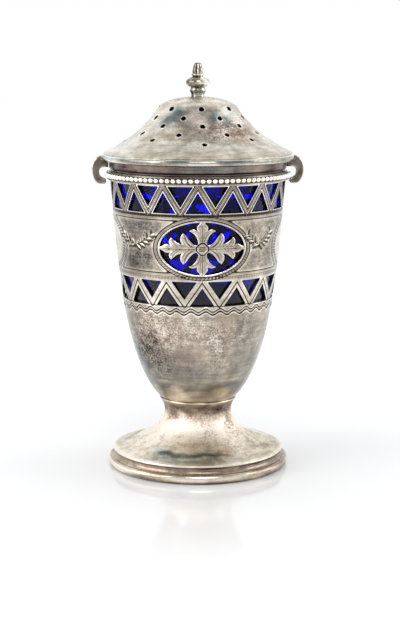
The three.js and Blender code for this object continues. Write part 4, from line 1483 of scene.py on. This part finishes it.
band_profile = np.array([
    [BAND_IN, BAND_BOTTOM + 0.1], [BAND_IN + 0.1, BAND_BOTTOM], [BAND_OUT - 0.15, BAND_BOTTOM],
    [BAND_OUT, BAND_BOTTOM + 0.15], *[[BAND_OUT, height] for height in (98.9, 99.3, 99.7, 100.1, 100.4)],
    [BAND_OUT, BAND_TOP - 0.35], [BAND_OUT + 0.12, BAND_TOP - 0.2],
    [BAND_OUT + 0.12, BAND_TOP], [BAND_IN, BAND_TOP],
])
band_mesh = turned("cover_plain_band", band_profile, 240)
turns, radii, heights = places_of(band_mesh)
# On the band, the dark row along its lower edge is painted shade over the gap beneath it, and the narrow
# light row and blue-grey bloom in its middle are a painted reflection; the other patches are tarnish.
mark(band_mesh, "tarnish", patches(turns, heights, [
    (-52, 99.7, 14, 3, 0.14), (-16, 99.7, 16, 3, -0.02), (12, 100.0, 16, 0.8, -0.10),
    (46, 99.7, 16, 3, 0.08), (160, 99.7, 30, 3, -0.06), (0, 98.45, 400, 0.35, 0.45),
]))
mark(band_mesh, "bloom", patches(turns, heights, [(8, 100.0, 22, 1.2, 0.9), (170, 99.7, 40, 2, 0.7)]))
mark(band_mesh, "blush", patches(turns, heights, [(-45, 99.7, 22, 2, 0.8), (50, 99.7, 20, 2, 0.5)]))
settle("cover_plain_band", band_mesh, "cover", ["cover_band"], band_silver)

bezel_profile = np.array([
    [24.0, 91.75], [24.15, 91.6], [24.55, 91.6], [24.7, 91.75], [24.7, 97.5], [24.9, 97.7],
    [28.1, 97.7], [28.2, 97.8], [28.2, 98.2], [28.1, 98.3], [24.2, 98.3], [24.0, 98.1],
])
bezel_mesh = turned("locating_ring", bezel_profile, 192)
# Painted shade: the outer face of the flange, seen in the gap under the band, is darkened.
mark(bezel_mesh, "cut", 0.6 * (places_of(bezel_mesh)[1] > 27.5))
settle("locating_ring", bezel_mesh, "bezel", ["cover_bezel"], band_silver)

# %% [markdown]
# ## Hooks
# Each hook is a flat strip bent to a C and filed smooth. Its outline is drawn once as a closed curve,
# which is given its width and a small bevel, made a mesh, and stood up on the side of the cover.

# %% Hooks
HOOK_WIDTH = 3.6
HOOK_BEVEL = 0.45
HOOK_REACH = 34.39
HOOK_START = (29.0, 98.7)
HOOK_RUNS = [
    [(29.0, 100.8)], [(30.4, 100.95)], [(31.3, 101.5)], [(31.5, 102.4)],
    [(32.7, 102.1), (34.4, 100.9), (34.4, 98.0)], [(34.4, 95.6), (33.6, 93.9), (32.2, 93.3)],
    [(30.3, 93.3)], [(29.8, 93.8)], [(29.8, 95.0)],
    [(31.2, 95.2), (32.0, 95.9), (32.0, 97.1)], [(32.0, 98.2), (31.5, 98.7), (30.4, 98.7)],
]


def hook_outline():
    points = [np.array([HOOK_START])]
    for run in HOOK_RUNS:
        start = tuple(points[-1][-1])
        if len(run) == 1:
            points.append(np.array(run, float))
        else:
            points.append(on_curve([start, *run], 14)[0][1:])
    outline = np.concatenate(points)
    return np.stack([np.minimum(outline[:, 0], HOOK_REACH), outline[:, 1]], axis=1)


def hook_mesh(name, side):
    """The strip on one side: +1 stands at +X, -1 is the same turned half round."""
    curve = bpy.data.curves.new(name, "CURVE")
    curve.dimensions = "2D"
    curve.fill_mode = "BOTH"
    curve.extrude = (HOOK_WIDTH / 2 - HOOK_BEVEL) * MM
    curve.bevel_depth = HOOK_BEVEL * MM
    curve.bevel_resolution = 3
    curve.offset = -HOOK_BEVEL * MM
    outline = hook_outline()
    spline = curve.splines.new("POLY")
    spline.points.add(len(outline) - 1)
    for point, (x, z) in zip(spline.points, outline):
        point.co = (x * MM, z * MM, 0, 1)
    spline.use_cyclic_u = True
    mesh = worked_out(add_object(name, curve))
    welded = bmesh.new()
    welded.from_mesh(mesh)
    bmesh.ops.remove_doubles(welded, verts=welded.verts, dist=0.001 * MM)
    welded.to_mesh(mesh)
    welded.free()
    x, z, across = coordinates(mesh).T
    mesh.vertices.foreach_set("co", np.ravel(np.stack([side * x, -side * across, z], axis=-1)))
    mesh.update()
    flat_side = np.abs(across) > (HOOK_WIDTH / 2 - 0.01) * MM
    # Rubbed edges with a painted highlight: the bevelled edges get a thinner film than the flat faces.
    mark(mesh, "polish", 0.45 * ~flat_side)
    return mesh


for hook_name, side in (("right", 1), ("left", -1)):
    settle(
        "hook_strip_" + hook_name, hook_mesh("hook_strip_" + hook_name, side), "cover",
        ["hook_" + hook_name], hook_silver,
    )

# %% [markdown]
# ## Finial
# A spool, a knop and a ribbed bud are threaded on one peg through the crown. The spool and knop are
# turned. The bud's ribs follow a rule, so its radius simply swells and shrinks with the angle. The peg
# itself is inside all of them, so the solid model's own peg stays and only gets a better finish.

# %% Spool, knop, bud and peg
CROWN_TOP = 121.25
SPOOL_TOP = 123.3
KNOP_TOP = 128.6
BUD_TOP = 132.0
BUD_RIBS = 9

spool_side = smooth_run([[2.15, CROWN_TOP], [2.12, 121.7], [2.3, 122.4], [2.62, 122.9]], 5)
spool_profile = joined(
    [[PEG_BORE, CROWN_TOP]], spool_side, [[2.7, 123.1], [2.6, SPOOL_TOP], [PEG_BORE, SPOOL_TOP]]
)
spool_mesh = turned("finial_spool_turned", spool_profile, 96)
mark(spool_mesh, "bloom", np.ones(len(spool_mesh.vertices)))
mark(spool_mesh, "tarnish", 0.24 * groove(places_of(spool_mesh)[2] - 122.6, 0.35) + 0.10)
settle("finial_spool_turned", spool_mesh, "cover", ["finial_spool"], finial_silver)

knop_foot = smooth_run([[2.3, SPOOL_TOP], [2.42, 123.5], [2.34, 123.8], [2.2, 123.95]], 4)
ball = oval_arc((0, 125.75), (3.94, 2.02), -56, 56, 28)
collar = smooth_run([[1.75, 127.6], [1.7, 127.75], [1.98, 127.95], [2.04, 128.25], [1.85, KNOP_TOP]], 4)
knop_profile = joined([[PEG_BORE, SPOOL_TOP]], knop_foot, ball, collar, [[PEG_BORE, KNOP_TOP]])
knop_mesh = turned("finial_knop_turned", knop_profile, 96)
turns, radii, heights = places_of(knop_mesh)
mark(knop_mesh, "tarnish", patches(turns, heights, [
    (20, 125.0, 14, 0.6, 0.35), (40, 125.9, 16, 0.5, 0.40), (-50, 125.6, 18, 0.9, 0.25),
    (-10, 124.4, 40, 0.35, 0.25), (170, 125.6, 40, 0.8, 0.35), (0, 127.6, 400, 0.16, 0.45),
    (0, 123.9, 400, 0.14, 0.45),
]))
settle("finial_knop_turned", knop_mesh, "cover", ["finial_knop"], finial_silver)


def bud_mesh(name, sides=144):
    """A small ribbed bud: its rings swell and shrink with the angle, and close at both ends."""
    side = smooth_run([[1.62, KNOP_TOP], [1.80, 129.2], [1.56, 130.6], [1.28, 131.5]], 6)
    side = np.concatenate([side, [[1.05, 131.8], [0.6, 131.97]]])
    turns = np.arange(sides) * 360 / sides
    ribs = np.abs(np.cos(np.radians(turns * BUD_RIBS / 2))) ** 0.7
    depth = 0.5 * np.clip(side[:, 0] / 1.4, 0.3, 1)
    radii = side[None, :, 0] - depth[None] * (1 - ribs[:, None])
    points = round_about(turns[:, None], radii, np.broadcast_to(side[:, 1], radii.shape))
    mesh = fan_closed(name, points, (KNOP_TOP, BUD_TOP))
    mark(mesh, "cut", np.concatenate([np.repeat(1 - ribs**1.6, len(side)), [0, 0]]))
    return mesh


settle(
    "finial_bud_ribbed", bud_mesh("finial_bud_ribbed"), "cover", ["finial_bud"],
    finial_silver, crease=60,
)
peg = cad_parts["finial_peg"]
for material_slot in peg.material_slots:
    material_slot.material = finial_silver

# %% [markdown]
# ## Garlands
# The leaves of the garlands stand a little proud of the shell. Beside each lies its painted shadow,
# dark. Both are thin pointed forms, drawn in the flat before and now laid on the shell's surface.


# %% Leaves of the garlands and the painted shadows beside them
def laid_on_shell(turns, heights, slopes):
    """Places on the shell, their outward directions, and directions at slopes from sideways upwards."""
    out, lift = shell_slope(heights)
    places = round_about(turns, shell_radius(heights), heights)
    outward = round_about(turns, out, lift)
    sideways = round_about(np.array(turns) + 90.0, np.ones(len(turns)), np.zeros(len(turns)))
    upwards = np.cross(outward, sideways)
    upwards *= np.sign(upwards[:, 2])[:, None]
    slopes = np.radians(slopes)[:, None]
    return places, outward, np.cos(slopes) * sideways + np.sin(slopes) * upwards


def leaf_form(name, length, width, thick):
    """A pointed form along +X with a ridge down its middle, closed below."""
    shares = np.array([0.15, 0.45, 0.75])
    halves = np.array([0.34, 0.5, 0.32]) * width
    points = [(0, 0, 0.2 * thick), (length, 0, 0.3 * thick)]
    for share, half in zip(shares, halves):
        points += [(share * length, -half, 0), (share * length, 0, thick), (share * length, half, 0)]
    points += [(0.45 * length, 0, -0.2 * thick)]
    quads = []
    for start in (2, 5):
        quads += [[start, start + 3, start + 4, start + 1], [start + 1, start + 4, start + 5, start + 2]]
    triangles = [[0, 2, 3], [0, 3, 4], [8, 1, 9], [9, 1, 10]]
    rim = [0, 4, 7, 10, 1, 8, 5, 2]
    triangles += [[11, a, b] for a, b in zip(rim, rim[1:] + rim[:1])]
    mesh = mesh_of(name, np.array(points, float), [np.array(quads), np.array(triangles)])
    mesh.shade_smooth()
    return bpy.data.objects.new(name, mesh)


forms_tree, forms_start, forms_given = new_tree("forms_on_points", {
    "Form": "NodeSocketObject", "Finish": "NodeSocketMaterial",
})
forms_copy = forms_start.node("GeometryNodeObjectInfo", {"Object": forms_given["Form"]}, output=4)
forms_copies = forms_start.node(
    "GeometryNodeInstanceOnPoints",
    {"Points": forms_given["Geometry"], "Instance": forms_copy, "Rotation": facing(forms_start)},
)
end_tree(forms_start, forms_copies, forms_given["Finish"])


def garland_points(name, starts):
    """One point for every leaf of the four garlands, with its directions on the shell."""
    turns = []
    for middle, half in GARLANDS.items():
        flat_x = starts[:, 0] * half / GARLAND_HALF
        turns.append(middle + np.degrees(np.arcsin(flat_x / shell_radius(starts[:, 1]))))
    heights = np.tile(starts[:, 1], len(GARLANDS))
    slopes = np.tile(garland[:, 2], len(GARLANDS))
    return points_mesh(name, *laid_on_shell(np.concatenate(turns), heights, slopes))


leaf_starts = garland[:, :2] - 0.28 * leaf_sides
# The first forms are the leaves' painted shadows, thin and dark; the second are the raised leaves.
for name, starts, size, finish_mark, amount in (
    ("shell_garland_cuts", shadow_starts, (0.78 * LEAF_LENGTH, 0.74, 0.08), "cut", 0.9),
    ("shell_garland_leaves", leaf_starts, (0.90 * LEAF_LENGTH, 0.74, 0.12), "polish", 0.04),
):
    form = leaf_form("garland_form", *size)
    base_mesh = garland_points("garland_points", starts)
    forms_mesh = grown(name, base_mesh, forms_tree, {"Form": form, "Finish": shell_silver})
    bpy.data.objects.remove(form)
    mark(forms_mesh, finish_mark, np.full(len(forms_mesh.vertices), amount))
    settle(name, forms_mesh, "stand", ["body_shell"], shell_silver)

# %% [markdown]
# ## Floor and light
# The photograph seems to have been made on a white table in soft light from all sides, a little darker
# from the camera's side. Polished metal shows little but its surroundings, so that darker side is what
# gives the shell its shape. The floor is a pale sheet with a faint gloss, greyer round the caster's
# foot by a painted shadow.

# %% Floor, room and lamps
floor_mesh = mesh_of(
    "table_top",
    np.array([[-3000, -3000, 0], [3000, -3000, 0], [3000, 3000, 0], [-3000, 3000, 0]], float),
    [np.array([[0, 1, 2, 3]])],
)
floor_finish, floor_start = new_material("white_table")
floor_place = floor_start.node("ShaderNodeTexCoord", output=3)
floor_grain = noise(floor_start, floor_place, 30, detail=2)
floor_reach = floor_start.node("ShaderNodeVectorMath", {0: floor_place}, output=1, operation="LENGTH")
# Painted shadow: the floor's colour greys towards the caster's foot.
floor_tone_with_painted_shadow = (floor_reach + floor_grain * 0.01).between(0.02, 0.17).blend(
    colour(0.70, 0.70, 0.70), colour(0.97, 0.97, 0.97)
)
finish_with(floor_start, {
    "Base Color": floor_tone_with_painted_shadow,
    "Roughness": floor_grain * 0.05 + 0.10,
    "Emission Color": colour(1.0, 1.0, 1.0),
    "Emission Strength": 0.10,
})
floor_mesh.materials.append(floor_finish)
add_object("table_top", floor_mesh)

world = bpy.data.worlds.new("studio")
world.use_nodes = True
world.node_tree.nodes.clear()
room = Signal(world.node_tree)
direction = room.node("ShaderNodeTexCoord")
split = room.node("ShaderNodeSeparateXYZ", {0: direction}).socket.node
from_back = Signal(world.node_tree, split.outputs["Y"])
from_above = Signal(world.node_tree, split.outputs["Z"])
ROOM_FRONT = colour(0.68, 0.67, 0.66)
ROOM_BACK = colour(1.0, 1.01, 1.03)
ROOM_TOP = colour(0.45, 0.45, 0.47)
room_light = from_back.between(-0.75, 0.35).blend(ROOM_FRONT, ROOM_BACK)
above_front = (from_above - from_back * 0.6).between(0.72, 1.12)
room_light = above_front.blend(room_light, ROOM_TOP)
seen = room.node("ShaderNodeLightPath")
backdrop = seen.blend(room_light, colour(1.0, 1.0, 1.0))
sky = room.node("ShaderNodeBackground", {"Color": backdrop, "Strength": 1.0})
room.node("ShaderNodeOutputWorld", {"Surface": sky})
bpy.context.scene.world = world
LAMP_AIM = (0, 0, 0.07)


def lamp(name, place, size, power):
    """A soft square lamp that looks at the caster."""
    light = bpy.data.lights.new(name, "AREA")
    light.size = size
    light.energy = power
    holder = add_object(name, light)
    holder.location = place
    holder.rotation_euler = (Vector(LAMP_AIM) - Vector(place)).to_track_quat("-Z", "Y").to_euler()


lamp("left_softbox", (-0.85, -0.30, 0.50), 0.75, 5.2)
lamp("front_softbox", (0.05, -0.85, 0.85), 0.5, 3.0)
lamp("right_softbox", (0.90, 0.00, 0.40), 0.6, 2.4)
bpy.context.scene.view_settings.view_transform = "Standard"
